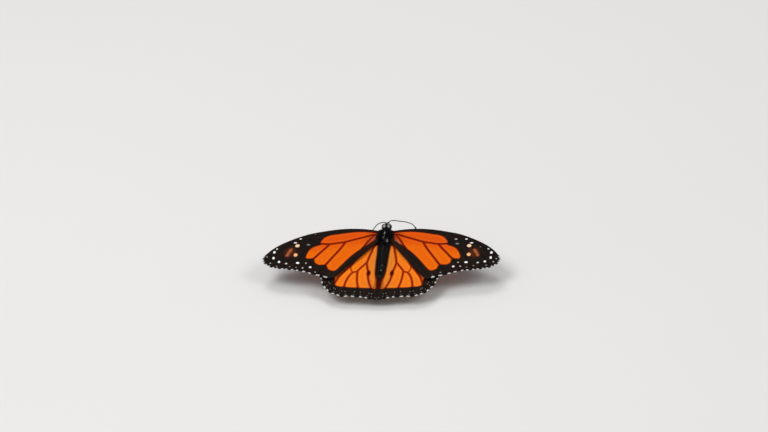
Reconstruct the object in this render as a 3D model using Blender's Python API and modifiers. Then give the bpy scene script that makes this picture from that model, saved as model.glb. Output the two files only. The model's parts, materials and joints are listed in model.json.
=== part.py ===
"""Monarch butterfly at life size, wings spread flat, standing on four legs.

The body frame has X to the butterfly's right, Y towards its head and Z out of its back, with the origin
at the level of the wing roots. The whole body is tipped head up by PITCH and stands ROOT_HEIGHT above
the floor.
Lengths are in millimetres, and MM turns them into Blender's metres.
"""

import math

import bmesh
import bpy
import numpy as np
from mathutils import Matrix, Vector

MM = 0.001
COLLECTION = "monarch_butterfly"
SIDES = {"right": 1, "left": -1}

# Stance on the floor
PITCH = math.radians(8)
ROOT_HEIGHT = 11.0
ROOT_Y = 12.8
CLEARANCE = 0.12

# Wings: each is a sheet stretched between four edges, given on the right side as (x, y)
WING_THICKNESS = 0.5
WING_ROOT_GAP = 0.25
FOREWING_COSTA = [(2.6, 2.6), (8, 4.0), (14, 4.0), (20, 3.2), (26, 1.7), (32, -0.2), (38, -3.4),
                  (43, -6.8), (46.6, -10.3), (48.8, -13.5)]
FOREWING_REAR = [(3.1, -2.6), (5.0, -7.0), (8.6, -12.5), (13.0, -18.5), (16.6, -23.6), (18.6, -26.0),
                 (20.6, -27.1)]
FOREWING_VEIN_ENDS = [(20.6, -27.1), (27.6, -25.3), (33.2, -23.6), (37.9, -22.9), (42.0, -22.3),
                      (45.6, -21.3), (48.6, -18.9), (49.5, -15.9), (48.8, -13.5)]
FOREWING_SCALLOP = 0.045
FOREWING_GRID = (12, 28)
HINDWING_COSTA = [(3.1, -2.2), (8.5, -5.2), (14, -10), (19.5, -16.2), (23.3, -21), (24.8, -24.6)]
HINDWING_INNER = [(2.75, -5.2), (2.6, -10), (2.5, -15), (2.1, -20), (1.3, -25), (0.5, -29.5),
                  (0.3, -34), (0.5, -38.0)]
HINDWING_VEIN_ENDS = [(0.5, -38.0), (3.2, -37.7), (8.3, -36.8), (14.8, -36.4), (19.9, -34.2),
                      (23.3, -29.8), (24.8, -24.6)]
HINDWING_SCALLOP = 0.075
HINDWING_GRID = (8, 28)

# Wing surfaces. The forewing's crest runs CREST_SETBACK behind a line that leans back towards the tip.
FOREWING_LEVEL, FOREWING_RISE, FOREWING_DROOP, FOREWING_ARCH = 0.1, 0.11, 0.0018, 0.004
FOREWING_INNER_X = 3.5
CREST_LINE_Y, CREST_LINE_SLOPE, CREST_SETBACK = 1.0, 0.308, 6.0
HINDWING_LEVEL, HINDWING_RISE, HINDWING_DROOP = -0.95, 0.03, 0.0008
HINDWING_INNER_X, HINDWING_DROOP_Y = 3.0, -10.0

# Body, along the body frame's Y: (y, z of the axis, radius), front to back
THORAX = [(3.9, -0.62, 1.5), (3.3, -0.68, 2.1), (2.2, -0.79, 2.75), (0.8, -0.93, 3.15), (-0.8, -1.05, 3.15),
          (-2.2, -1.13, 2.8), (-3.2, -1.18, 2.35), (-3.9, -1.2, 1.9)]
COLLAR = [(4.85, -0.53, 1.15), (4.6, -0.55, 1.35), (4.3, -0.58, 1.45), (4.05, -0.6, 1.35)]
ABDOMEN_START, ABDOMEN_TIP = -4.08, -26.2
ABDOMEN_RADIUS = 2.35
ABDOMEN_SEGMENTS = 8
ABDOMEN_SAG = 0.9
WAIST_DEPTH, WAIST_REACH = 0.22, 0.07
TAPER_START, TAPER_REACH, TAPER_POWER = 0.35, 0.72, 0.75
SEGMENT_STEPS = 3
SEGMENT_GROOVE = 0.1

HEAD_CENTRE = Vector((0, 6.1, -0.25))
HEAD_HALF = Vector((1.65, 1.2, 1.4))
EYE_CENTRE = Vector((1.35, 6.15, -0.3))
EYE_HALF = Vector((0.85, 1.1, 1.2))
EYE_SWELL = 1.1
EYE_FACES = (16, 10)
HEAD_FACES = (24, 14)
TEGULA_FACES = (12, 8)

# Feelers and mouth parts: points of the right one, and for the antennae of each side
ANTENNA_ROUTES = {
    "right": [(0.5, 6.65, 1.05), (0.8, 7.15, 1.35), (2.1, 8.6, 1.0), (5.1, 9.6, -0.2), (8.2, 10.4, -1.6),
              (10.3, 10.7, -3.2), (11.3, 10.8, -5.2), (11.7, 10.6, -7.0)],
    "left": [(-0.5, 6.65, 1.05), (-0.8, 7.1, 1.25), (-2.4, 7.9, 0.45), (-4.3, 8.3, -0.95),
             (-5.4, 8.2, -2.4), (-6.9, 8.2, -4.5), (-8.4, 7.9, -6.3), (-9.8, 7.5, -7.7)],
}
ANTENNA_RADIUS, CLUB_RADIUS, CLUB_SHARE = 0.25, 0.42, 0.22
CLUB_ARC, CLUB_END = 0.62, 0.6
ANTENNA_STEPS = 15
PALP_ROUTE = [(0.45, 7.0, -1.5), (0.55, 7.55, -1.35), (0.6, 7.85, -0.7), (0.55, 7.85, 0.1), (0.5, 7.7, 0.6)]
PALP_RADII = [0.2, 0.36, 0.38, 0.3, 0.12]
COIL_CENTRE = Vector((0, 6.55, -2.85))
COIL_RADII = (0.3, 0.95)
COIL_TURNS = 1.2
COIL_STEPS = 22
PROBOSCIS_RADIUS = 0.25

# Legs: where each leaves the thorax (y, angle from straight down) and its joints on the floor's own axes
LEG_RADII = {"coxa": 0.5, "femur": 0.42, "tibia": 0.32, "tarsus": 0.27}
COXA_REACH = 1.1
HEEL_SHARE = 0.25
LIMB_SWELL = ((0.12, 0.95), (0.35, 1.0), (0.88, 0.78))
LIMB_START, LIMB_END = 0.85, 0.9
FOOT_LEVEL = 0.22
WALKING_LEGS = {
    "midleg": {"root": (0.6, 38), "knee": (6.9, 4.4, 7.9), "ankle": (9.8, 7.0, 0.75), "toe": (12.6, 10.4)},
    "hindleg": {"root": (-1.9, 32), "knee": (6.4, -6.0, 7.2), "ankle": (8.7, -12.0, 0.75),
                "toe": (10.0, -17.4)},
}
FORELEG_ROOT = (2.7, 30)
FORELEG_ROUTE = [(1.75, 4.3, -3.3), (1.7, 5.5, -2.9), (1.5, 5.75, -3.5), (1.3, 4.3, -4.3)]
FORELEG_RADIUS = 0.28
FORELEG_CLEARANCE = 0.17

TEGULA_ROOT = (2.1, 125)
TEGULA_HALF = (1.1, 0.65, 0.3)

# Fineness of the tubes, as tube_mesh's sides_step, and of the curves between two of their points
THORAX_SIDES, BODY_SIDES, PALP_SIDES, LIMB_SIDES = 7, 6, 3, 2
CURVE_STEPS = 24


# Materials

FINISHES = {
    "forewing_scales": ((0.83, 0.13, 0.01), 0.6),
    "hindwing_scales": ((0.95, 0.24, 0.02), 0.6),
    "body_coat": ((0.012, 0.011, 0.012), 0.8),
    "eye_lens": ((0.01, 0.008, 0.008), 0.15),
    "limb_shell": ((0.015, 0.013, 0.012), 0.4),
}


def finish(name):
    """The named material, made at its first use."""
    material = bpy.data.materials.get(name)
    if material is None:
        colour, roughness = FINISHES[name]
        material = bpy.data.materials.new(name)
        material.use_nodes = True
        shader = material.node_tree.nodes["Principled BSDF"]
        shader.inputs["Base Color"].default_value = (*colour, 1)
        shader.inputs["Roughness"].default_value = roughness
        shader.inputs["Metallic"].default_value = 0
    return material


# Scene, frames and joining

def clear_scene():
    for obj in list(bpy.data.objects):
        bpy.data.objects.remove(obj)


def new_collection(name):
    collection = bpy.data.collections.new(name)
    bpy.context.scene.collection.children.link(collection)
    return collection


def body_to_floor(point):
    """A point of the body frame on the floor's axes, in millimetres."""
    turned = Matrix.Rotation(PITCH, 3, "X") @ Vector(point)
    return turned + Vector((0, 0, ROOT_HEIGHT))


def new_node(name, mesh, material, collection, parent):
    """One sub-part: its mesh holds its place in the frame of its parent."""
    obj = bpy.data.objects.new(name, mesh)
    collection.objects.link(obj)
    obj.parent = parent
    mesh.materials.clear()
    mesh.materials.append(finish(material))
    return obj


def add_modifier(obj, kind, name, **settings):
    modifier = obj.modifiers.new(name, kind)
    for key, value in settings.items():
        setattr(modifier, key, value)
    return modifier


def thorax_section(y):
    """(height of the axis, radius) of the thorax at y."""
    stations = np.array(THORAX[::-1])
    return tuple(float(np.interp(y, stations[:, 0], column)) for column in stations.T[1:])


# Curves and sheets

def spline(points, count):
    """count points at even steps along the Catmull-Rom curve through points."""
    knots = np.array(points, float)
    ends = np.vstack([2 * knots[0] - knots[1], knots, 2 * knots[-1] - knots[-2]])
    share = np.linspace(0, 1, CURVE_STEPS, endpoint=False)[:, None]
    pieces = []
    for a, b, c, d in zip(ends, ends[1:], ends[2:], ends[3:]):
        pieces.append(0.5 * (2 * b + (c - a) * share + (2 * a - 5 * b + 4 * c - d) * share**2
                             + (3 * b - a - 3 * c + d) * share**3))
    fine = np.vstack([*pieces, knots[-1:]])
    length = np.concatenate([[0], np.cumsum(np.linalg.norm(np.diff(fine, axis=0), axis=1))])
    steps = np.linspace(0, length[-1], count)
    return np.stack([np.interp(steps, length, axis) for axis in fine.T], axis=1)


def scalloped(vein_ends, depth, count):
    """A wing's outer edge, drawn in between each two vein ends by a share, depth, of their distance."""
    edge = spline(vein_ends, count)
    knots = np.array(vein_ends, float)
    widths = np.linalg.norm(np.diff(knots, axis=0), axis=1)
    length = np.concatenate([[0], np.cumsum(widths)])
    share = np.interp(np.linspace(0, 1, count), length / length[-1], np.arange(len(knots)))
    cell = np.minimum(share.astype(int), len(widths) - 1)
    dip = depth * widths[cell] * np.sin(np.pi * (share - cell)) ** 2
    along = np.gradient(edge, axis=0)
    along /= np.linalg.norm(along, axis=1)[:, None]
    inward = np.stack([-along[:, 1], along[:, 0]], axis=1)
    return edge + dip[:, None] * inward


def forewing_height(x, y):
    """Height of the forewing's middle surface, which arches front to back and droops to the tip."""
    out = x - FOREWING_INNER_X
    before_line = (y - CREST_LINE_Y + CREST_LINE_SLOPE * out) / math.hypot(1, CREST_LINE_SLOPE)
    arch = FOREWING_ARCH * (before_line + CREST_SETBACK) ** 2
    return FOREWING_LEVEL + FOREWING_RISE * out - FOREWING_DROOP * out**2 - arch


def hindwing_height(x, y):
    """Height of the hindwing's middle surface, below the forewing, drooping to the rear."""
    droop = HINDWING_DROOP * min(y - HINDWING_DROOP_Y, 0) ** 2
    return HINDWING_LEVEL + HINDWING_RISE * (x - HINDWING_INNER_X) - droop


def wing_sheet(root, tip_edge, front, rear, height, side):
    """The grid stretched between a wing's four edges, root to tip and rear to front, laid on its height."""
    steps_out, steps_round = len(front) - 1, len(tip_edge) - 1
    bm = bmesh.new()
    bmesh.ops.create_grid(bm, x_segments=steps_out, y_segments=steps_round, size=1)
    for vertex in bm.verts:
        u, v = (vertex.co.x + 1) / 2, (vertex.co.y + 1) / 2
        i, j = round(u * steps_out), round(v * steps_round)
        across = (1 - v) * rear[i] + v * front[i]
        along = (1 - u) * root[j] + u * tip_edge[j]
        corners = (1 - u) * ((1 - v) * rear[0] + v * front[0]) + u * ((1 - v) * rear[-1] + v * front[-1])
        x, y = across + along - corners
        vertex.co = Vector((side * x, y, height(x, y))) * MM
    return bm


def wing_root(rear, front, height, count):
    """The wing's inner end from rear to front, following the thorax's side."""
    line = np.linspace(rear, front, count)
    for point in line[1:-1]:
        below = height(*point) - WING_THICKNESS / 2
        axis_z, radius = thorax_section(point[1])
        side_x = math.sqrt(max(radius**2 - (below - axis_z) ** 2, 0)) + WING_ROOT_GAP
        point[0] = max(point[0], side_x)
    return line


def make_wing(name, edges, grid, scallop, height, material, side, collection, parent):
    costa, rear_edge, vein_ends = edges
    steps_out, steps_round = grid
    front = spline(costa, steps_out + 1)
    rear = spline(rear_edge, steps_out + 1)
    tip_edge = scalloped(vein_ends, scallop, steps_round + 1)
    root = wing_root(rear[0], front[0], height, steps_round + 1)
    bm = wing_sheet(root, tip_edge, front, rear, height, side)
    mesh = bpy.data.meshes.new(name)
    bm.to_mesh(mesh)
    bm.free()
    wing = new_node(name, mesh, material, collection, parent)
    add_modifier(wing, "SOLIDIFY", "Thickness", thickness=WING_THICKNESS * MM, offset=0)
    mesh.shade_smooth()
    return wing


# Tubes

def tube_mesh(name, points, radii, sides_step):
    """A closed tube through points with a radius at each, as a mesh. It has 4 + 2 * sides_step sides."""
    curve = bpy.data.curves.new(name + "_curve", "CURVE")
    curve.dimensions = "3D"
    curve.bevel_depth = MM
    curve.bevel_resolution = sides_step
    curve.use_fill_caps = True
    line = curve.splines.new("POLY")
    line.points.add(len(points) - 1)
    for target, point, radius in zip(line.points, points, radii):
        target.co = (*(Vector(point) * MM), 1)
        target.radius = radius
    guide = bpy.data.objects.new(name + "_curve", curve)
    bpy.context.scene.collection.objects.link(guide)
    bpy.context.view_layer.update()
    evaluated = guide.evaluated_get(bpy.context.evaluated_depsgraph_get())
    mesh = bpy.data.meshes.new_from_object(evaluated)
    mesh.name = name
    bpy.data.objects.remove(guide)
    bm = bmesh.new()
    bm.from_mesh(mesh)
    bmesh.ops.remove_doubles(bm, verts=bm.verts, dist=0.001 * MM)
    bmesh.ops.recalc_face_normals(bm, faces=bm.faces)
    bm.to_mesh(mesh)
    bm.free()
    mesh.shade_smooth()
    return mesh


def thorax_surface(y, angle_deg, side):
    """(point, outward normal) on the thorax at y, angle_deg round from straight down towards that side."""
    axis_z, radius = thorax_section(y)
    angle = math.radians(angle_deg)
    outward = Vector((side * math.sin(angle), 0, -math.cos(angle)))
    return Vector((0, y, axis_z)) + radius * outward, outward


# Sub-parts

def make_thorax(collection, parent):
    points = [(0, y, z) for y, z, _ in THORAX]
    radii = [radius for *_, radius in THORAX]
    mesh = tube_mesh("thorax", points, radii, THORAX_SIDES)
    return new_node("thorax", mesh, "body_coat", collection, parent)


def make_collar(collection, parent):
    points = [(0, y, z) for y, z, _ in COLLAR]
    radii = [radius for *_, radius in COLLAR]
    mesh = tube_mesh("collar", points, radii, BODY_SIDES)
    return new_node("collar", mesh, "body_coat", collection, parent)


def abdomen_axis_height(share):
    """Height of the abdomen's axis, which sags towards the tip."""
    return THORAX[-1][1] - ABDOMEN_SAG * share**1.5


def abdomen_radius(share):
    """A spindle: narrow at the waist, fullest near the front third, tapering to the tip."""
    waist = 1 - WAIST_DEPTH * math.exp(-share / WAIST_REACH)
    taper = (1 - max(0, share - TAPER_START) / TAPER_REACH) ** TAPER_POWER
    return ABDOMEN_RADIUS * waist * taper


def make_abdomen(collection, parent):
    """Eight rings with a shallow groove between them, closed by a rounded tip."""
    points, radii = [], []
    steps = ABDOMEN_SEGMENTS * SEGMENT_STEPS
    for step in range(steps + 1):
        share = step / steps
        groove = SEGMENT_GROOVE if step % SEGMENT_STEPS == 0 and 0 < step < steps else 0
        y = ABDOMEN_START + share * (ABDOMEN_TIP - ABDOMEN_START)
        points.append((0, y, abdomen_axis_height(share)))
        radii.append(abdomen_radius(share) - groove)
    mesh = tube_mesh("abdomen", points, radii, BODY_SIDES)
    return new_node("abdomen", mesh, "body_coat", collection, parent)


def add_ball(name, centre, half, material, collection, parent, faces):
    """A sphere with the half sizes of half, its poles up and down; faces are counted round and down."""
    bm = bmesh.new()
    bmesh.ops.create_uvsphere(bm, u_segments=faces[0], v_segments=faces[1], radius=1)
    bmesh.ops.scale(bm, vec=Vector(half) * MM, verts=bm.verts)
    bmesh.ops.translate(bm, vec=Vector(centre) * MM, verts=bm.verts)
    mesh = bpy.data.meshes.new(name)
    bm.to_mesh(mesh)
    bm.free()
    mesh.shade_smooth()
    return new_node(name, mesh, material, collection, parent)


def on_side(point, side):
    return Vector((side * point[0], point[1], point[2]))


def make_head(collection, cutters, parent):
    """A rounded head with a socket on each side for the eye."""
    head = add_ball("head", HEAD_CENTRE, HEAD_HALF, "body_coat", collection, parent, HEAD_FACES)
    for side_name, side in SIDES.items():
        centre = on_side(EYE_CENTRE, side)
        add_ball("eye_" + side_name, centre, EYE_HALF, "eye_lens", collection, parent, EYE_FACES)
        socket_half = EYE_HALF * EYE_SWELL
        socket = add_ball("socket_" + side_name, centre, socket_half, "eye_lens", cutters, parent, EYE_FACES)
        socket.hide_render = True
        socket.display_type = "WIRE"
        add_modifier(head, "BOOLEAN", "Socket " + side_name, object=socket, operation="DIFFERENCE")
    return head


def make_antenna(side_name, collection, parent):
    """A thin stalk that swells into a club along its last share."""
    points = spline(ANTENNA_ROUTES[side_name], ANTENNA_STEPS + 1)
    radii = []
    for share in np.linspace(0, 1, len(points)):
        club = max(0, (share - 1 + CLUB_SHARE) / CLUB_SHARE)
        radii.append(ANTENNA_RADIUS + (CLUB_RADIUS - ANTENNA_RADIUS) * math.sin(math.pi * CLUB_ARC * club))
    radii[-1] *= CLUB_END
    mesh = tube_mesh("antenna_" + side_name, points, radii, LIMB_SIDES)
    return new_node(mesh.name, mesh, "limb_shell", collection, parent)


def make_palp(side_name, collection, parent):
    points = [on_side(point, SIDES[side_name]) for point in PALP_ROUTE]
    mesh = tube_mesh("palp_" + side_name, points, PALP_RADII, PALP_SIDES)
    return new_node(mesh.name, mesh, "body_coat", collection, parent)


def make_proboscis(collection, parent):
    """The drinking tube, rolled up flat under the head."""
    points = []
    inner, outer = COIL_RADII
    for step in range(COIL_STEPS + 1):
        share = step / COIL_STEPS
        angle = math.pi / 2 + 2 * math.pi * COIL_TURNS * (1 - share)
        radius = inner + (outer - inner) * share
        points.append(COIL_CENTRE + Vector((0, math.cos(angle), math.sin(angle))) * radius)
    mesh = tube_mesh("proboscis", points, [PROBOSCIS_RADIUS] * len(points), LIMB_SIDES)
    return new_node("proboscis", mesh, "limb_shell", collection, parent)


def make_tegula(side_name, collection, parent):
    """The small scale-like cover over the forewing's root."""
    y, angle = TEGULA_ROOT
    point, outward = thorax_surface(y, angle, SIDES[side_name])
    centre = point + outward * (TEGULA_HALF[2] + CLEARANCE)
    tegula = add_ball("tegula_" + side_name, (0, 0, 0), TEGULA_HALF, "body_coat", collection, parent,
                      TEGULA_FACES)
    turn = outward.to_track_quat("Z", "Y").to_matrix().to_4x4()
    tegula.data.transform(Matrix.Translation(centre * MM) @ turn)
    return tegula


def limb_points(joints, radii):
    """Points and radii along straight limb parts, each thickest a third of the way down it."""
    points, sizes = [joints[0]], [radii[0] * LIMB_START]
    for start, end, radius in zip(joints, joints[1:], radii):
        for share, swell in LIMB_SWELL:
            points.append(start.lerp(end, share))
            sizes.append(radius * swell)
    points.append(joints[-1])
    sizes.append(sizes[-1] * LIMB_END)
    return points, [max(size, LEG_RADII["tarsus"]) for size in sizes]


def cut_at_floor(mesh):
    """Slices off what is below the floor, which leaves the foot's small flat."""
    bm = bmesh.new()
    bm.from_mesh(mesh)
    everything = [*bm.verts, *bm.edges, *bm.faces]
    bmesh.ops.bisect_plane(bm, geom=everything, plane_co=(0, 0, 0), plane_no=(0, 0, 1), clear_inner=True)
    bmesh.ops.holes_fill(bm, edges=[edge for edge in bm.edges if edge.is_boundary])
    bmesh.ops.recalc_face_normals(bm, faces=bm.faces)
    bm.to_mesh(mesh)
    bm.free()


def make_walking_leg(kind, side_name, collection, parent):
    """Coxa, femur, tibia and tarsus; the tarsus lies along the floor."""
    side = SIDES[side_name]
    plan = WALKING_LEGS[kind]
    root, outward = thorax_surface(*plan["root"], side)
    start = body_to_floor(root + outward * CLEARANCE)
    hip = body_to_floor(root + outward * COXA_REACH)
    ankle, toe = on_side(plan["ankle"], side), on_side((*plan["toe"], FOOT_LEVEL), side)
    foot = ankle.lerp(toe, HEEL_SHARE)
    foot.z = FOOT_LEVEL
    joints = [start, hip, on_side(plan["knee"], side), ankle, foot, toe]
    thick = LEG_RADII
    points, radii = limb_points(joints, [thick["coxa"], thick["femur"], thick["tibia"], thick["tarsus"],
                                         thick["tarsus"]])
    mesh = tube_mesh(f"{kind}_{side_name}", points, radii, LIMB_SIDES)
    cut_at_floor(mesh)
    return new_node(mesh.name, mesh, "limb_shell", collection, parent)


def make_foreleg(side_name, collection, parent):
    """The small front leg, folded against the breast and never used to walk."""
    side = SIDES[side_name]
    root, outward = thorax_surface(*FORELEG_ROOT, side)
    joints = [root + outward * FORELEG_CLEARANCE, *(on_side(point, side) for point in FORELEG_ROUTE)]
    points, radii = limb_points(joints, [FORELEG_RADIUS] * (len(joints) - 1))
    mesh = tube_mesh("foreleg_" + side_name, points, radii, LIMB_SIDES)
    return new_node(mesh.name, mesh, "limb_shell", collection, parent)


def add_empty(name, parent=None):
    empty = bpy.data.objects.new(name, None)
    bpy.context.scene.collection.objects.link(empty)
    empty.parent = parent
    return empty


def main():
    clear_scene()
    parts = new_collection(COLLECTION)
    cutters = new_collection("cutters")
    stand = add_empty("butterfly")
    stand.location = (0, ROOT_Y * MM, 0)
    body = add_empty("body_frame", stand)
    body.location = (0, 0, ROOT_HEIGHT * MM)
    body.rotation_euler = (PITCH, 0, 0)

    make_thorax(parts, body)
    make_collar(parts, body)
    make_abdomen(parts, body)
    make_head(parts, cutters, body)
    make_proboscis(parts, body)
    for side_name, side in SIDES.items():
        make_wing("forewing_" + side_name, (FOREWING_COSTA, FOREWING_REAR, FOREWING_VEIN_ENDS),
                  FOREWING_GRID, FOREWING_SCALLOP, forewing_height, "forewing_scales", side, parts, body)
        make_wing("hindwing_" + side_name, (HINDWING_COSTA, HINDWING_INNER, HINDWING_VEIN_ENDS),
                  HINDWING_GRID, HINDWING_SCALLOP, hindwing_height, "hindwing_scales", side, parts, body)
        make_antenna(side_name, parts, body)
        make_palp(side_name, parts, body)
        make_tegula(side_name, parts, body)
        make_foreleg(side_name, parts, body)
        for kind in WALKING_LEGS:
            make_walking_leg(kind, side_name, parts, stand)


main()
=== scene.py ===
"""Looks of the monarch butterfly: wings with their markings, body, coat, eyes, feelers, legs and stage.

Work is done in the butterfly's own frame in millimetres: X to its right, Y to its head, Z out of its back. A
finished mesh is then laid on the floor's axes in metres.
"""
import json
import math

import bpy
import numpy as np
from bpy.props import FloatProperty, FloatVectorProperty, IntProperty, PointerProperty
from mathutils import Matrix, Vector

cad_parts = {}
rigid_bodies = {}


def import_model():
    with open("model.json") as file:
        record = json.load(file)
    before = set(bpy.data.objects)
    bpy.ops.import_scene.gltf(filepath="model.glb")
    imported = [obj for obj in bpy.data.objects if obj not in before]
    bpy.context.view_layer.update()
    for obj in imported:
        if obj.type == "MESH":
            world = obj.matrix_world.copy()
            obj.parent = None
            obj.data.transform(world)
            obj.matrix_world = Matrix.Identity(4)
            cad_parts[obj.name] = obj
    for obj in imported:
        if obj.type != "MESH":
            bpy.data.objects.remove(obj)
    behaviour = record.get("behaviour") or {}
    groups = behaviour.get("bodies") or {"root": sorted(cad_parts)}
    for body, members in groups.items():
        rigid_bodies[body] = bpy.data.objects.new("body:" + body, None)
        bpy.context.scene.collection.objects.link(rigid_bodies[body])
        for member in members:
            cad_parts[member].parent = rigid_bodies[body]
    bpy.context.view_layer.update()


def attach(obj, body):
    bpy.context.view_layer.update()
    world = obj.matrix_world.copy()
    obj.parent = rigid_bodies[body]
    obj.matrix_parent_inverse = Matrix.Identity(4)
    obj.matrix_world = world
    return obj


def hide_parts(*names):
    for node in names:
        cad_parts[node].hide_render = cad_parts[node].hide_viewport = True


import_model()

bl_info = {
    "name": "Monarch butterfly",
    "version": (1, 0, 0),
    "blender": (4, 5, 0),
    "location": "View3D > Sidebar > Butterfly",
    "description": "Life-size monarch butterfly with spread wings, built round its solid model",
    "category": "Object",
}

MM = 0.001
BODY = "root"
SIDES = {"right": 1, "left": -1}
FLESH = ["head", "palp_right", "palp_left", "collar", "thorax", "tegula_right", "tegula_left", "abdomen"]
BAKE_MAP = "OFBake"
LIE_MAP = "Lie"
FAR = 1e9

# Stance, as in the solid model
PITCH = math.radians(8)
ROOT_HEIGHT = 11.0
ROOT_Y = 12.8
TO_FLOOR = (Matrix.Scale(MM, 4) @ Matrix.Translation((0, ROOT_Y, ROOT_HEIGHT))
            @ Matrix.Rotation(PITCH, 4, "X"))
FLOOR_ONLY = Matrix.Scale(MM, 4) @ Matrix.Translation((0, ROOT_Y, 0))

# Plans of the right wings. costa and rear are the front and rear edges from the root out, and vein_ends lie
# round the outer edge from rear to front. scallop is how deep the edge is drawn in between two vein ends, as
# a share of their distance. plain_cells counts the cells by the tail whose edge has no white, steps the
# faces out and round, and lie is the way that the rows of scales run.
FOREWING = {
    "costa": [(1.9, 3.3), (8, 4.0), (14, 4.0), (20, 3.2), (26, 1.7), (32, -0.2), (38, -3.4), (43, -6.8),
              (46.6, -10.3), (48.8, -13.5)],
    "rear": [(2.0, -2.3), (5.0, -7.0), (8.6, -12.5), (13.0, -18.5), (16.6, -23.6), (18.6, -26.0),
             (20.6, -27.1)],
    "vein_ends": [(20.6, -27.1), (27.6, -25.3), (33.2, -23.6), (37.9, -22.9), (42.0, -22.3), (45.6, -21.3),
                  (48.6, -18.9), (49.5, -15.9), (48.8, -13.5)],
    "scallop": 0.045,
    "plain_cells": 0,
    "steps": (210, 176),
    "lie": math.radians(-21),
}
HINDWING = {
    "costa": [(2.0, -2.0), (8.5, -5.2), (14, -10), (19.5, -16.2), (23.3, -21), (24.8, -24.6)],
    "rear": [(1.8, -5.0), (1.9, -10), (1.5, -15), (0.95, -20), (0.35, -24.5), (0.13, -28), (0.12, -34),
             (0.5, -38.0)],
    "vein_ends": [(0.5, -38.0), (3.2, -37.3), (8.3, -36.5), (14.8, -36.3), (19.9, -34.2), (23.3, -29.8),
                  (24.8, -24.6)],
    "scallop": 0.075,
    "plain_cells": 1,
    "steps": (176, 150),
    "lie": math.radians(-75),
}

# Veins of the right wings: half width, then the route
FOREWING_VEINS = [
    (0.45, [(3.0, 1.2), (5.5, 0.9), (8, -0.4), (10, -1.4), (12, -2.4), (14, -3.4), (16, -4.4), (18, -5.1),
            (20, -5.6), (22, -6.2), (24, -6.4), (27.5, -6.2)]),
    (0.38, [(16.4, -4.6), (18, -8.5), (19.7, -11.7), (21.4, -14.7), (23, -17.6), (24.4, -19.9),
            (27.6, -25.3)]),
    (0.40, [(22.8, -6.2), (24.5, -9), (26.3, -11.6), (28, -14.2), (29.5, -16.4), (33.2, -23.6)]),
    (0.34, [(27.2, -6.3), (30.6, -7.8), (33.3, -11.5), (35.3, -16.5), (37.9, -22.9)]),
    (0.22, [(27.4, -5.4), (32.2, -6.6), (36.9, -11), (39.3, -16.5), (42.0, -22.3)]),
    (0.22, [(27.2, -4.2), (33, -4.9), (38.4, -9.2), (42.3, -15), (45.6, -21.3)]),
    (0.22, [(26.6, -3.2), (34, -3.6), (40.5, -7.8), (45.3, -13.4), (48.6, -18.9)]),
    (0.22, [(3, 2.3), (8, 3.1), (14, 3.1), (20, 2.0), (26, 0.2), (33, -2.4), (39, -5.5), (45, -10.6),
            (49.3, -15.9)]),
    (0.28, [(3.0, -1.0), (6.2, -5.4), (10.2, -11.2), (14.4, -17.2), (18.2, -23.2), (20.6, -27.1)]),
    (0.30, [(4.5, 0.9), (5.7, -1.0), (6.5, -2.4), (7.4, -4.3), (8.3, -6.3), (9.3, -8.0)]),
]
HINDWING_VEINS = [
    (0.34, [(3.0, -4.0), (4.4, -6.5), (4.8, -8.8), (5.5, -11.8), (6, -14.8), (6.3, -16.2)]),
    (0.34, [(6.2, -16.2), (5.7, -19), (5.1, -21.6), (4.85, -24.7), (4.3, -27.3), (3.6, -29.6), (3, -31.5),
            (3.2, -38.1)]),
    (0.32, [(6.3, -15.8), (7.3, -17.4), (8.3, -18.9), (9.2, -20.4), (9.8, -21.3), (10.8, -21.8),
            (11.5, -21.8)]),
    (0.13, [(11.5, -21.8), (12.2, -21), (12.5, -19.6), (12.6, -18)]),
    (0.32, [(9.6, -21.2), (9.5, -24), (9.3, -26.5), (8.9, -29), (8.5, -31), (8.3, -37.2)]),
    (0.32, [(11.4, -21.8), (12.7, -24), (13.5, -26.2), (14, -28.5), (14.3, -31), (14.8, -36.6)]),
    (0.33, [(12.6, -17.8), (14.3, -20.3), (15.9, -23), (17.4, -26), (19.9, -34.2)]),
    (0.28, [(4.0, -4.6), (7.5, -9.3), (10.5, -13.8), (12.6, -18)]),
    (0.28, [(12.2, -16.6), (15.5, -19), (18.3, -22.6), (20.3, -25.8), (23.3, -29.8)]),
    (0.28, [(10.5, -13.8), (15, -16), (20, -20.4), (24.8, -24.6)]),
    (0.24, [(2.2, -6), (2.25, -13), (2.15, -18), (2.0, -21), (1.7, -24), (1.45, -25.5)]),
    (0.15, [(1.5, -25.2), (1.2, -27), (0.98, -29), (0.85, -32)]),
    (0.26, [(0.05, -25), (0.02, -33)]),
    (0.5, [(0.6, -24.5), (0.5, -27), (0.3, -29.5), (0.1, -32)]),
]
# Pale line along the hindwing's inner margin
INNER_MARGIN = [(2.8, -8), (2.75, -13), (2.65, -17), (2.45, -20)]
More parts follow.
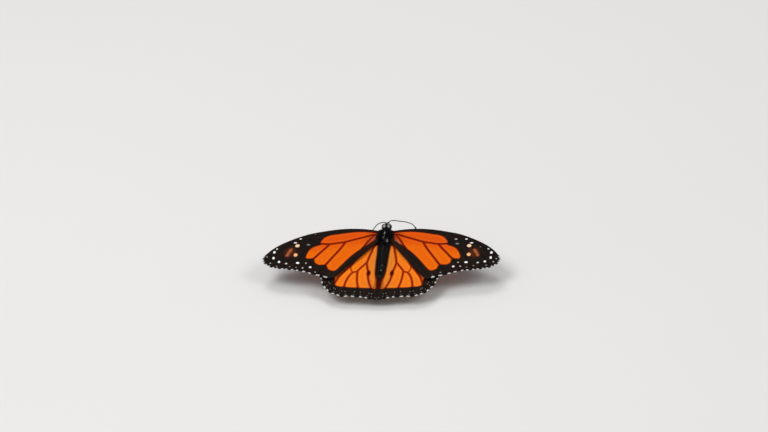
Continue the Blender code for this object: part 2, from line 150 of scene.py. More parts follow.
# Outline of all the orange cells of a wing together
FOREWING_ORANGE = [
    (3.2, 2.2), (4.5, 2.5), (8, 2.6), (12, 2.3), (16, 1.5), (20, 0.4), (23, -0.4), (25, -1.7), (26.1, -3.4),
    (26.8, -5.2), (26.8, -6.9), (28.5, -7.8), (30.2, -9), (31.5, -11), (32.3, -13.5), (32.4, -15),
    (31.4, -15.7), (29.7, -15.6), (28.8, -16.7), (28.3, -18.1), (26.8, -19.1), (25, -19.1), (23.4, -19.9),
    (22.7, -21.4), (21, -22.2), (19.9, -22.0), (18.8, -20.9), (17.1, -18.3), (15.1, -15.2), (13.1, -12.3),
    (10.9, -9.6), (9.4, -8.1), (8.4, -7.1), (7.4, -5.9), (6.4, -4.7), (5.4, -3.5), (4.3, -2.2), (3.5, -0.8),
]
HINDWING_ORANGE = [
    (2.9, -5.2), (4.3, -5.0), (8, -7.2), (12, -10.6), (16, -15), (19.2, -19.6), (20.0, -23), (18.6, -26),
    (18.4, -28), (18.2, -29.6), (16.8, -30.4), (13.8, -30.8), (10, -31), (8, -31.1), (5, -31.1),
    (2.6, -31.3), (0.4, -31.6), (0.0, -28), (0.9, -25.6), (2.0, -22.5), (2.3, -18), (2.35, -11),
]
# Where the cells of each forewing lie off that plan: along x, along y, and along x for each mm to the rear
# of DRIFT_START
FOREWING_DRIFT = {1: (0.0, -0.4, 0.052), -1: (-0.25, -0.55, -0.045)}
DRIFT_START = -4
# Light spots: place on the right wing, place on the left wing, half sizes, share of cream, brightness. A
# place is None where that wing lacks the spot.
FOREWING_SPOTS = [
    ((34.6, -3.5), (35.1, -3.5), (0.6, 0.42), 0.0, 1.0),
    ((30.2, -3.6), None, (0.65, 0.36), 0.1, 0.6),
    (None, (29.3, 0.0), (0.35, 0.35), 0.0, 0.2),
    ((36.9, -6.0), (37.1, -6.1), (0.8, 0.42), 0.1, 0.9),
    ((36.1, -7.9), (36.0, -8.1), (0.95, 1.0), 0.75, 1.0),
    ((36.4, -13.5), (36.1, -14.0), (0.85, 1.05), 1.0, 0.95),
    ((44.3, -9.7), (44.4, -9.9), (0.4, 0.5), 0.0, 0.8),
    ((45.7, -12.0), (45.3, -12.0), (0.55, 0.85), 0.0, 1.0),
    ((45.7, -15.2), (45.2, -15.8), (0.5, 0.8), 0.0, 1.0),
    ((43.5, -17.8), (42.6, -18.3), (0.55, 0.65), 0.0, 1.0),
    ((40.6, -18.6), (39.5, -19.4), (0.55, 0.45), 0.0, 0.7),
    ((35.7, -18.4), (34.7, -19.0), (0.75, 0.58), 0.0, 1.0),
    ((32.4, -18.4), (31.2, -19.0), (0.42, 0.42), 0.2, 0.42),
    ((30.6, -20.8), (29.2, -21.3), (0.58, 0.55), 0.0, 0.85),
    ((33.5, -20.8), (32.3, -21.8), (0.35, 0.5), 0.0, 0.5),
    ((25.5, -24.0), (26.9, -24.0), (0.35, 0.35), 0.0, 0.35),
    ((22.4, -26.0), (21.8, -26.4), (0.35, 0.3), 0.0, 0.45),
    ((48.1, -15.8), (48.0, -14.9), (0.35, 0.4), 0.0, 0.42),
    ((47.0, -17.8), (46.2, -18.9), (0.36, 0.36), 0.0, 0.5),
    ((44.2, -20.0), (43.3, -20.9), (0.38, 0.3), 0.0, 0.35),
    ((38.9, -20.4), (37.8, -21.1), (0.36, 0.3), 0.0, 0.3),
    ((36.2, -21.3), (35.1, -21.6), (0.3, 0.3), 0.0, 0.3),
    ((31.0, -6.7), (31.4, -7.5), (0.8, 0.45), 0.1, 0.22),
    ((40.8, -8.6), None, (0.35, 0.3), 0.1, 0.2),
]
# Rows of dots inside the hindwing's outer edge: distance from it, radius, brightness
UPPER_DOT_ROWS = [(1.1, 0.22, 0.36), (2.8, 0.26, 0.3)]
UNDER_DOT_ROWS = [(1.15, 0.42, 0.9), (2.9, 0.5, 1.0)]
# Rust streak by the tip of the right (1) and left (-1) forewing, and the centre and half sizes of its haze
FOREWING_RUST = {
    1: [(38.6, -10.6), (39.5, -12.4), (40.2, -13.9)],
    -1: [(38.4, -10.6), (39.1, -12.5), (39.7, -14.3)],
}
RUST_HAZE = ((38.6, -12.4), (2.6, 3.4))
RUST_HALF_WIDTH = 1.1
# Pink line by the root of the right (1) and left (-1) forewing: a painted highlight along the vein at the
# root
FOREWING_ROOT_HIGHLIGHT = {
    1: [(4.5, -2.9), (5.5, -3.7), (6.7, -5.3)],
    -1: [(4.2, -0.3), (4.9, -1.7), (5.8, -3.1)],
}
ROOT_HIGHLIGHT_HALF_WIDTH = 0.5
MARGIN_HALF_WIDTH = 0.22
# The left hindwing's dark strip by the forewing: half width and route
DARK_STRIP = (0.55, [(12.9, -16.2), (16.2, -18.8), (19.0, -22.3), (21, -25.6)])
# Black scent spot of the male's hindwing: centre and half sizes
SCENT_SPOT = ((4.9, -22.3), (0.72, 1.6))
# White patches of the edge: half length as a share of the cell, depth, the cell width from which there are
# two, and brightness
PATCH_SHARE = 0.105
RIM_WIDTH = 0.24
WIDE_CELL = 2.4
RIM_LIGHT = 0.85

# Body, along Y: (y, height of the axis, radius) of the bare skin, front to back
TRUNK = [
    (5.5, -0.5, 0.5), (5.0, -0.52, 0.95), (4.6, -0.55, 1.15), (4.1, -0.6, 1.3), (3.7, -0.63, 1.55),
    (3.3, -0.68, 1.85), (2.2, -0.79, 2.45), (0.8, -0.93, 2.82), (-0.8, -1.05, 2.82), (-2.2, -1.13, 2.5),
    (-3.2, -1.18, 2.1), (-3.9, -1.2, 1.8),
]
ABDOMEN_START, ABDOMEN_TIP = -4.08, -26.2
ABDOMEN_RADIUS = 2.35
ABDOMEN_SEGMENTS = 8
EYE_CENTRE = (1.35, 6.15, -0.3)
EYE_HALF = (0.85, 1.1, 1.2)
# Rounded lumps of the right side and the middle that the skin runs over: centre and half sizes
LUMPS = [
    ((0, 6.05, -0.25), (1.45, 1.05, 1.25)),
    ((0, 6.75, -0.5), (0.8, 0.6, 0.8)),
    ((0.65, 6.3, -1.2), (0.6, 0.65, 0.42)),
    ((0.5, 6.6, 0.82), (0.34, 0.34, 0.3)),
    ((0, 5.1, -0.5), (1.05, 0.8, 1.0)),
    ((0.6, 3.3, 0.7), (0.75, 0.7, 0.45)),
    ((1.55, 3.3, -2.25), (0.55, 0.75, 0.6)),
    ((1.6, 0.6, -3.1), (0.7, 0.95, 0.7)),
    ((1.4, -1.9, -3.1), (0.7, 0.9, 0.65)),
    ((0, -2.9, 0.7), (1.0, 0.8, 0.6)),
    ((0.95, 5.45, 0.5), (0.4, 0.42, 0.42)),
    ((0.42, -25.6, -2.1), (0.3, 0.65, 0.42)),
]
PALP_ROUTE = [(0.45, 7.0, -1.5), (0.55, 7.5, -1.35), (0.6, 7.75, -0.7), (0.55, 7.75, 0.1), (0.5, 7.65, 0.5)]
PALP_RADII = [0.2, 0.3, 0.31, 0.24, 0.12]
TEGULA_CENTRE, TEGULA_HALF = (2.0, 2.15, 0.68), (0.95, 0.62, 0.26)
TEGULA_TILT = math.radians(38)
# White dots of the right side of head and thorax: place and radius
BODY_DOTS = [
    ((1.12, 5.45, 0.8), 0.78), ((0.6, 6.6, 1.0), 0.34), ((1.35, 5.1, 0.2), 0.26), ((0.5, 4.3, 0.75), 0.34),
    ((1.4, 4.35, -0.3), 0.34), ((2.3, 3.0, -1.7), 0.36), ((2.95, 1.0, -1.7), 0.46),
    ((2.7, -1.2, -2.1), 0.42), ((2.2, -2.9, -2.2), 0.40), ((1.6, 3.3, -2.8), 0.42),
    ((1.7, 0.6, -3.7), 0.42), ((1.5, -1.9, -3.7), 0.40), ((0.85, 6.75, -1.35), 0.32),
    ((0.55, 7.9, -1.1), 0.28), ((1.35, 5.1, -0.95), 0.34), ((0.6, 7.95, -0.1), 0.22),
    ((0.28, 7.35, 0.3), 0.16),
]
# Nearly bare, shiny places on the back: place and half sizes
BARE_PATCHES = [
    ((-0.2, 0.3, 2.0), (0.3, 1.4, 1.0)),
    ((-0.5, -2.4, 1.3), (0.3, 0.9, 1.0)),
    ((1.25, -3.6, 0.5), (0.9, 1.45, 1.2)),
    ((-1.3, -3.7, 0.4), (0.35, 0.5, 0.9)),
]

# Feelers, mouth and legs: routes of the solid model
ANTENNA_ROUTES = {
    "right": [(0.5, 6.65, 1.05), (0.8, 7.15, 1.35), (2.1, 8.6, 1.0), (5.1, 9.6, -0.2), (8.2, 10.4, -1.6),
              (10.3, 10.7, -3.2), (11.3, 10.8, -5.2), (11.7, 10.6, -7.0)],
    "left": [(-0.5, 6.65, 1.05), (-0.8, 7.1, 1.25), (-2.4, 7.9, 0.45), (-4.3, 8.3, -0.95), (-5.4, 8.2, -2.4),
             (-6.9, 8.2, -4.5), (-8.4, 7.9, -6.3), (-9.8, 7.5, -7.7)],
}
COIL_CENTRE = (0, 6.55, -2.85)
COIL_RADII = (0.3, 0.95)
COIL_TURNS = 1.2
# From the coil up to the mouth
COIL_LEAD = [(0, 6.75, -1.75), (0, 6.85, -1.3)]
# root is the place along Y and the degrees round from straight down. The rest is on the floor's axes.
WALKING_LEGS = {
    "midleg": {"root": (0.6, 38), "knee": (6.9, 4.4, 7.9), "ankle": (9.8, 7.0, 0.75), "toe": (12.6, 10.4)},
    "hindleg": {"root": (-1.9, 32), "knee": (6.4, -6.0, 7.2), "ankle": (8.7, -12.0, 0.75),
                "toe": (10.0, -17.4)},
}
FORELEG_ROOT = (2.7, 30)
FORELEG_ROUTE = [(1.75, 4.3, -3.3), (1.7, 5.5, -2.9), (1.5, 5.75, -3.5), (1.3, 4.3, -4.3)]
FOOT_LEVEL = 0.2


# Properties

def length(name, text, default, low=0.0):
    return FloatProperty(name=name, description=text, default=default, min=low, subtype="DISTANCE",
                         unit="LENGTH")


def colour(name, text, default):
    return FloatVectorProperty(name=name, description=text, default=default, size=3, min=0, max=1,
                               subtype="COLOR")


def amount(name, text, default):
    return IntProperty(name=name, description=text, default=default, min=0)


def power(name, text, default):
    return FloatProperty(name=name, description=text, default=default, min=0, unit="POWER")


class WingSettings(bpy.types.PropertyGroup):
    """Thicknesses and colours of the wings"""
    thickness: length("Thickness", "Thickness of the wing between its veins", 0.00022)
    vein_relief: length("Vein relief", "How far a vein stands out of each face", 0.00008)
    pleat: length("Pleat", "How far the wing sags between two veins", 0.00014)
    fringe: length("Fringe", "Length of the scales along the wing's edge", 0.00042)
    fore_orange: colour("Forewing orange", "Main colour of the forewing's cells", (0.76, 0.124, 0.0025))
    fore_red: colour("Forewing red", "Redder orange towards the front edge", (0.68, 0.080, 0.003))
    fore_vein: colour("Forewing veins", "Veins between the forewing's orange cells", (0.18, 0.008, 0.0003))
    # Colour of the painted highlight by the forewing's root
    fore_root_highlight: colour("Forewing blush", "Pink line by the forewing's root", (0.42, 0.17, 0.11))
    fore_root: colour("Forewing root", "Red brown of the dark parts near the root", (0.112, 0.0105, 0.002))
    hind_orange: colour("Hindwing orange", "Main colour of the hindwing's cells", (0.83, 0.177, 0.009))
    hind_inner: colour("Hindwing inner orange", "Paler orange beside the abdomen", (0.66, 0.185, 0.019))
    hind_gold: colour("Hindwing gold", "Lighter orange in the middle of the cells", (0.97, 0.27, 0.012))
    hind_vein: colour("Hindwing veins", "Veins between the hindwing's orange cells", (0.227, 0.0137, 0.0003))
    hind_blush: colour("Hindwing blush", "Buff line along the inner margin", (0.30, 0.17, 0.04))
    under_buff: colour("Underside buff", "Pale colour of the underside's cells", (0.80, 0.40, 0.13))
    under_edge: colour("Underside edge", "Whitish borders of the underside's veins", (0.85, 0.72, 0.55))
    black: colour("Black", "Borders and the tip", (0.0095, 0.0068, 0.0055))
    vein_red: colour("Vein red", "Deep red orange that borders the veins", (0.45, 0.038, 0.0025))
    cream: colour("Cream", "Pale orange spots of the tip", (0.90, 0.50, 0.20))
    rust: colour("Rust", "Streak near the tip", (0.36, 0.105, 0.035))
    rust_dark: colour("Dark rust", "Red brown shade round the streak", (0.11, 0.018, 0.006))
    tip_brown: colour("Tip brown", "Brownish black between the veins of the borders", (0.030, 0.015, 0.009))


class BodySettings(bpy.types.PropertyGroup):
    """Skin, hair and colours of head, thorax and abdomen"""
    voxel: length("Skin grain", "Size of the skin's faces", 0.00011, 0.00005)
    groove: length("Ring groove", "Depth of the grooves between the abdomen's rings", 0.00012)
    thorax_hair: length("Thorax hair", "Length of the hair on the thorax", 0.00085)
    head_hair: length("Head hair", "Length of the hair on the head", 0.00042)
    abdomen_hair: length("Abdomen hair", "Length of the scales on the abdomen", 0.00042)
    wing_root_hair: length("Wing root hair", "Length of the hair over the wing roots", 0.0016)
    thorax_tufts: amount("Thorax tufts", "Tufts on the thorax", 17000)
    head_tufts: amount("Head tufts", "Tufts on head and palps", 9500)
    abdomen_tufts: amount("Abdomen tufts", "Tufts on the abdomen", 18500)
    black: colour("Coat black", "Main colour of skin and hair", (0.0036, 0.003, 0.0034))
    grey: colour("Side hair", "Brownish grey hair by the wing roots", (0.055, 0.038, 0.026))
    white: colour("White", "Dots on head, thorax and wings", (0.90, 0.90, 0.88))
    eye_black: colour("Eye black", "Main colour of the eyes", (0.006, 0.0045, 0.0045))
    eye_brown: colour("Eye brown", "Brown clouds in the eyes", (0.022, 0.012, 0.009))


class LimbSettings(bpy.types.PropertyGroup):
    """Antennae and legs"""
    feeler_radius: length("Feeler radius", "Half the thickness of an antenna's stalk", 0.00019)
    club_radius: length("Club radius", "Half the thickness of an antenna's club", 0.00036)
    femur_radius: length("Femur radius", "Half the thickness of a walking leg's thigh", 0.00036)
    spine: length("Spine", "Length of the spines on shins and feet", 0.00034)
    shell: colour("Shell", "Black of legs and antennae", (0.010, 0.009, 0.009))
    worn_shell: colour("Worn shell", "Brownish places on legs and antennae", (0.03, 0.022, 0.018))


class StageSettings(bpy.types.PropertyGroup):
    """Floor, lights and camera"""
    floor_size: length("Floor size", "Side of the floor", 6.0)
    floor_tone: colour("Floor tone", "Colour of the floor", (0.74, 0.73, 0.71))
    lens: FloatProperty(name="Lens", description="Focal length", default=300, min=1, unit="CAMERA")
    distance: length("Camera distance", "From the camera to the butterfly", 2.67)
    key_power: power("Key light", "Power of the main light", 5.4)
    fill_power: power("Fill light", "Power of the light from the right", 3.48)
    rear_power: power("Rear light", "Power of the light from the rear", 3.24)
    sky: FloatProperty(name="Sky", description="Strength of the light from all round", default=0.40, min=0)


def settings(kind):
    return getattr(bpy.context.scene, "butterfly_" + kind)


# Curves and distances in the wing's plane

FINE_STEPS = 24
EDGE_STEPS = 400


def spline(points, count):
    """count points at even steps along the smooth curve through points."""
    knots = np.array(points, float)
    ends = np.vstack([2 * knots[0] - knots[1], knots, 2 * knots[-1] - knots[-2]])
    steps = np.linspace(0, 1, FINE_STEPS, endpoint=False)[:, None]
    pieces = [0.5 * (2 * b + (c - a) * steps + (2 * a - 5 * b + 4 * c - d) * steps**2
                     + (3 * b - a - 3 * c + d) * steps**3)
              for a, b, c, d in zip(ends, ends[1:], ends[2:], ends[3:])]
    fine = np.vstack([*pieces, knots[-1:]])
    along = np.concatenate([[0], np.cumsum(np.linalg.norm(np.diff(fine, axis=0), axis=1))])
    stops = np.linspace(0, along[-1], count)
    return np.stack([np.interp(stops, along, axis) for axis in fine.T], axis=1)


def cell_share(vein_ends, count):
    """For count steps round the outer edge: the cell's number and the place across it. And all widths."""
    widths = np.linalg.norm(np.diff(np.array(vein_ends, float), axis=0), axis=1)
    along = np.concatenate([[0], np.cumsum(widths)])
    share = np.interp(np.linspace(0, 1, count), along / along[-1], np.arange(len(vein_ends)))
    cell = np.minimum(share.astype(int), len(widths) - 1)
    return cell, share - cell, widths


def outward_of(line):
    """Unit normals to the right of the way a line runs."""
    along = np.gradient(line, axis=0)
    along /= np.linalg.norm(along, axis=1)[:, None]
    return np.stack([along[:, 1], -along[:, 0]], axis=1)


def scalloped(plan, count):
    """A wing's outer edge, drawn in between its vein ends."""
    edge = spline(plan["vein_ends"], count)
    cell, across, widths = cell_share(plan["vein_ends"], count)
    dip = plan["scallop"] * widths[cell] * np.sin(np.pi * across) ** 2
    return edge - dip[:, None] * outward_of(edge)


def distance_to(points, line):
    """Distance of each point to a line of straight pieces."""
    best = np.full(len(points), FAR)
    for a, b in zip(line[:-1], line[1:]):
        along = b - a
        share = np.clip(((points - a) @ along) / max(along @ along, 1e-12), 0, 1)
        best = np.minimum(best, np.linalg.norm(points - a - share[:, None] * along, axis=1))
    return best


def distance_to_curve(points, knots, count):
    """Distance of each point to the smooth curve through knots."""
    return distance_to(points, spline(knots, count))


def outside_of(points, knots, count):
    """Signed distance to the smooth closed curve through knots, positive outside it."""
    closed = spline([*knots, knots[0]], count)
    inside = np.zeros(len(points), bool)
    for a, b in zip(closed[:-1], closed[1:]):
        if a[1] != b[1]:
            spans = (a[1] > points[:, 1]) != (b[1] > points[:, 1])
            crossing = a[0] + (points[:, 1] - a[1]) * (b[0] - a[0]) / (b[1] - a[1])
            inside ^= spans & (points[:, 0] < crossing)
    distance = distance_to(points, closed)
    return np.where(inside, -distance, distance)


def soft_max(a, b, width):
    share = np.clip(0.5 + 0.5 * (a - b) / width, 0, 1)
    return b + (a - b) * share + width * share * (1 - share)


def ramp(value, low, high):
    """0 up to low and 1 from high, with a smooth rise between them."""
    share = np.clip((value - low) / (high - low), 0, 1)
    return share * share * (3 - 2 * share)


def unit_distance(points, centre, half):
    """Distance to centre, counted in half sizes."""
    return np.linalg.norm((points - centre) / half, axis=1)


# Wing surfaces

HINGE_X = 3.5


def ahead_of_tip_line(x, y):
    """How far a point lies ahead of the line from the forewing's hinge to its tip; negative behind it."""
    return 0.956 * (y - 1 + 0.308 * (x - HINGE_X))


def forewing_height(x, y):
    """The forewing rises outward, less so towards its tip, and arches from front to rear."""
    out = x - HINGE_X
    return 0.1 + 0.11 * out - 0.0018 * out**2 - 0.004 * (ahead_of_tip_line(x, y) + 6) ** 2


def hindwing_height(x, y):
    """The hindwing droops to the rear, and its inner margin folds down beside the abdomen."""
    fold = 0.5 * ramp(x, 2.2, 1.0) * ramp(y, -25, -21)
    return -0.95 + 0.03 * (x - 3) - 0.0008 * np.minimum(y + 10, 0) ** 2 - fold


def wing_edges(plan):
    """The wing's four edges: root, outer, rear and front."""
    steps_out, steps_round = plan["steps"]
    front = spline(plan["costa"], steps_out + 1)
    rear = spline(plan["rear"], steps_out + 1)
    outer = scalloped(plan, steps_round + 1)
    root = np.linspace(rear[0], front[0], steps_round + 1)
    return root, outer, rear, front


def wing_plane(edges):
    """The grid stretched between the four edges, as (steps out, steps round, xy)."""
    root, outer, rear, front = edges
    u = np.linspace(0, 1, len(front))[:, None, None]
    v = np.linspace(0, 1, len(outer))[None, :, None]
    across = (1 - v) * rear[:, None] + v * front[:, None]
    along = (1 - u) * root[None] + u * outer[None]
    corners = (1 - u) * ((1 - v) * rear[0] + v * front[0]) + u * ((1 - v) * rear[-1] + v * front[-1])
    return across + along - corners


# Markings: values at points of the wing's plan, mostly distances in millimetres, positive inside the mark

OFF = -9.0


def vein_field(points, veins):
    """(how far inside the nearest vein's band, distance to the nearest vein's middle)."""
    band, nearest = np.full(len(points), -FAR), np.full(len(points), FAR)
    for half_width, route in veins:
        distance = distance_to_curve(points, route, 3 * len(route))
        band = np.maximum(band, half_width - distance)
        nearest = np.minimum(nearest, distance)
    return band, nearest


def spot_field(points, spots):
    """(how far inside the nearest spot, its share of cream, its brightness)."""
    inside = np.full(len(points), OFF)
    cream, light = np.zeros(len(points)), np.zeros(len(points))
    for centre, half, creamy, bright in spots:
        reach = (1 - unit_distance(points, centre, half)) * min(half)
        nearer = reach > inside
        inside = np.where(nearer, reach, inside)
        cream, light = np.where(nearer, creamy, cream), np.where(nearer, bright, light)
    return inside, cream, light


def border_dots(plan, rows):
    """Small dots in rows inside the outer edge, two to a wide cell."""
    edge = scalloped(plan, EDGE_STEPS)
    inward = -outward_of(edge)
    cell, across, widths = cell_share(plan["vein_ends"], EDGE_STEPS)
    dots = []
    for inset, radius, light in rows:
        for number, width in enumerate(widths):
            for place in (0.28, 0.72) if width > WIDE_CELL else (0.5,):
                step = int(np.argmin(np.abs(cell + across - number - place)))
                dots.append((edge[step] + inset * inward[step], (radius, radius * 0.85), 0.0, light))
    return dots


def from_patch(across, width):
    """How far across a cell the middle of the nearest white edge patch is."""
    return np.where(width > WIDE_CELL, np.abs(np.abs(across - 0.5) - 0.22), np.abs(across - 0.5) * 0.7)


def with_rim(points, plan, inside, cream, light):
    """The spots together with the white patches at the wing's very edge."""
    edge = scalloped(plan, EDGE_STEPS)
    cell, across, widths = cell_share(plan["vein_ends"], EDGE_STEPS)
    near = np.flatnonzero(distance_to(points, edge[::4]) < 1)
    gaps = np.linalg.norm(points[near][:, None] - edge[None], axis=2)
    step = gaps.argmin(axis=1)
    patch = (PATCH_SHARE - from_patch(across, widths[cell]))[step] * widths[cell][step]
    rim = np.minimum(patch, RIM_WIDTH - gaps.min(axis=1))
    edge_in = np.full(len(points), OFF)
    edge_in[near] = np.where(cell[step] < plan["plain_cells"], OFF, rim)
    nearer = edge_in > inside
    return np.where(nearer, edge_in, inside), np.where(nearer, 0, cream), np.where(nearer, RIM_LIGHT, light)


def forewing_markings(points, side, under):
    """Attribute values of the forewing at points of the right-hand plan."""
    x, y = points.T
    along_x, along_y, lean = FOREWING_DRIFT[side]
    own = np.column_stack([x - along_x - lean * np.maximum(DRIFT_START - y, 0), y - along_y])
    band, nearest = vein_field(own, FOREWING_VEINS)
    border = outside_of(own, FOREWING_ORANGE, 220)
    spots = []
    for right, left, half, creamy, bright in FOREWING_SPOTS:
        centre = right if side > 0 else left
        if centre is not None:
            spots.append((np.array(centre), half, creamy, bright))
    inside, cream, light = with_rim(points, FOREWING, *spot_field(points, spots))
    return {
        "band": band, "nearest": nearest, "border": border, "spot": inside, "cream": cream, "light": light,
        "rust": 1 - distance_to_curve(points, FOREWING_RUST[side], 12) / RUST_HALF_WIDTH,
        "haze": 1 - unit_distance(points, *RUST_HAZE),
        # Painted highlight along the vein by the root
        "blush": ROOT_HIGHLIGHT_HALF_WIDTH - distance_to_curve(points, FOREWING_ROOT_HIGHLIGHT[side], 12),
        "warm": np.clip(0.85 * ramp(ahead_of_tip_line(x, y), -8, -1) + 0.3 * ramp(x, 14, 4), 0, 1),
        "buff": ramp(x, 29, 35) * under,
        "shade": 1 - 0.38 * ramp(x, 10, 4) - 0.2 * ramp(x, 6.5, 4),
        "deep": ramp(border, -4.0, -0.5),
        "root": ramp(x, 13, 4) * (0 if under else 0.14),
    }


def hindwing_markings(points, side, under):
    """Attribute values of the hindwing at points of the right-hand plan."""
    x, y = points.T
    band, nearest = vein_field(points, HINDWING_VEINS)
    centre, half = SCENT_SPOT
    scent = (1 - unit_distance(points, centre, half)) * min(half)
    shade = 1 - 0.45 * ramp(x - np.interp(-y, (20, 31), (0, 1.3)), 1.6, 0.6)
    none = np.full(len(points), OFF)
    blush = none
    if not under:
        band = np.maximum(band, scent)
        blush = 3 * (MARGIN_HALF_WIDTH - distance_to_curve(points, INNER_MARGIN, 30))
        # Painted light: up to a fifth brighter within about 2.4 mm of the forewing's rear edge, lifting the
        # forewing's cast shadow there
        shade += 0.2 * ramp(distance_to_curve(points, FOREWING["rear"], 40), 2.4, 0.5)
        if side < 0:
            band = np.maximum(band, DARK_STRIP[0] - distance_to_curve(points, DARK_STRIP[1], 20))
    dots = border_dots(HINDWING, UNDER_DOT_ROWS if under else UPPER_DOT_ROWS)
    inside, cream, light = with_rim(points, HINDWING, *spot_field(points, dots))
    return {
        "band": band, "nearest": nearest, "spot": inside, "cream": cream, "light": light, "scent": scent,
        "border": outside_of(points, HINDWING_ORANGE, 200),
        "rust": none, "haze": none, "blush": blush, "shade": shade, "root": 0 * x,
        "warm": ramp(x, 2.0, 9.0), "buff": np.full(len(points), float(under)),
        "deep": 1.3 * np.maximum(ramp(scent, -0.5, 0.1), ramp(x, 2.8, 2.0)),
    }


# Meshes

def shifted(points, matrix):
    """Points moved by a 4 x 4 matrix."""
    turn = np.array(matrix)
    return np.asarray(points) @ turn[:3, :3].T + turn[:3, 3]


def new_mesh(name, points, quads, triangles=()):
    """A mesh of four- and three-sided faces; points are on the floor's axes, in metres."""
    quads = np.asarray(quads, np.int32).reshape(-1, 4)
    triangles = np.asarray(triangles, np.int32).reshape(-1, 3)
    corners = np.concatenate([quads.ravel(), triangles.ravel()])
    starts = np.concatenate([np.arange(len(quads)) * 4, len(quads) * 4 + np.arange(len(triangles)) * 3])
    mesh = bpy.data.meshes.new(name)
    mesh.vertices.add(len(points))
    mesh.vertices.foreach_set("co", np.asarray(points, np.float32).ravel())
    mesh.loops.add(len(corners))
    mesh.loops.foreach_set("vertex_index", corners)
    mesh.polygons.add(len(starts))
    mesh.polygons.foreach_set("loop_start", starts.astype(np.int32))
    mesh.update(calc_edges=True)
    return mesh


def add_values(mesh, **values):
    """One number at each corner point, under each name."""
    for name, numbers in values.items():
        layer = mesh.attributes.new(name, "FLOAT", "POINT")
        layer.data.foreach_set("value", np.ascontiguousarray(numbers, dtype=np.float32))


def add_map(mesh, name, corner_places):
    layer = mesh.uv_layers.new(name=name)
    layer.data.foreach_set("uv", np.ascontiguousarray(corner_places, dtype=np.float32).ravel())


def vertex_of_corner(mesh):
    """Number of the point at each corner of each face."""
    corners = np.zeros(len(mesh.loops), np.int32)
    mesh.loops.foreach_get("vertex_index", corners)
    return corners


def points_of(mesh, kind="co"):
    """Places of a mesh's points, or their normals where kind is normal."""
    values = np.zeros(len(mesh.vertices) * 3, np.float32)
    mesh.vertices.foreach_get(kind, values)
    return values.reshape(-1, 3).astype(float)


def add_piece(mesh, material, nodes):
    """Shows a finished mesh, riding on the body in place of the named nodes."""
    piece = bpy.data.objects.new(mesh.name, mesh)
    bpy.context.scene.collection.objects.link(piece)
    declare(piece, material, nodes)


def declare(piece, material, nodes):
    """Gives a piece its material and smooth faces, puts it on the body and hides the nodes that it takes the
    place of.
    """
    piece.data.name = piece.name
    piece.data.materials.clear()
    piece.data.materials.append(material)
    piece.data.shade_smooth()
    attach(piece, BODY)
    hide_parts(*nodes)


def deselect():
    for obj in bpy.context.view_layer.objects:
        obj.select_set(False)


def activate(obj):
    deselect()
    obj.select_set(True)
    bpy.context.view_layer.objects.active = obj


def apply_modifier(obj, kind, **values):
    activate(obj)
    modifier = obj.modifiers.new(kind.title(), kind)
    for key, value in values.items():
        setattr(modifier, key, value)
    bpy.ops.object.modifier_apply(modifier=modifier.name)


def add_ball(centre, half, turn=(0, 0, 0), segments=40, rings=24):
    """A ball with the given half sizes."""
    deselect()
    bpy.ops.mesh.primitive_uv_sphere_add(segments=segments, ring_count=rings, radius=1, location=centre,
                                         rotation=turn, scale=half)
    ball = bpy.context.object
    bpy.ops.object.transform_apply(location=True, rotation=True, scale=True)
    return ball


def add_tube(points, radii, resolution=4):
    """A closed tube through points with a radius at each."""
    deselect()
    curve = bpy.data.curves.new("tube", "CURVE")
    curve.dimensions = "3D"
    curve.bevel_depth = 1
    curve.bevel_resolution = resolution
    curve.use_fill_caps = True
    line = curve.splines.new("POLY")
    line.points.add(len(points) - 1)
    for target, point, radius in zip(line.points, points, radii):
        target.co = (*point, 1)
        target.radius = radius
    tube = bpy.data.objects.new("tube", curve)
    bpy.context.scene.collection.objects.link(tube)
    activate(tube)
    bpy.ops.object.convert(target="MESH")
    tube = bpy.context.object
    bpy.ops.object.mode_set(mode="EDIT")
    bpy.ops.mesh.select_all(action="SELECT")
    bpy.ops.mesh.remove_doubles(threshold=1e-5)
    bpy.ops.mesh.normals_make_consistent(inside=False)
    bpy.ops.object.mode_set(mode="OBJECT")
    return tube


def join(parts, name):
    """Several objects made one."""
    deselect()
    for part in parts:
        part.select_set(True)
    bpy.context.view_layer.objects.active = parts[0]
    bpy.ops.object.join()
    whole = bpy.context.object
    whole.name = name
    return whole


def both_sides(point):
    """A point of the right side together with its mirror image, or a point of the middle alone."""
    return [point] if point[0] == 0 else [point, (-point[0], *point[1:])]


def on_side(point, side):
    return Vector((side * point[0], *point[1:]))


def columns(*values):
    """Numbers and arrays side by side as the columns of one array."""
    return np.stack(np.broadcast_arrays(*values), axis=1).astype(float)


def folded(points):
    """Points of both sides laid over those of the right side."""
    return columns(np.abs(points[:, 0]), points[:, 1], points[:, 2])


# Materials

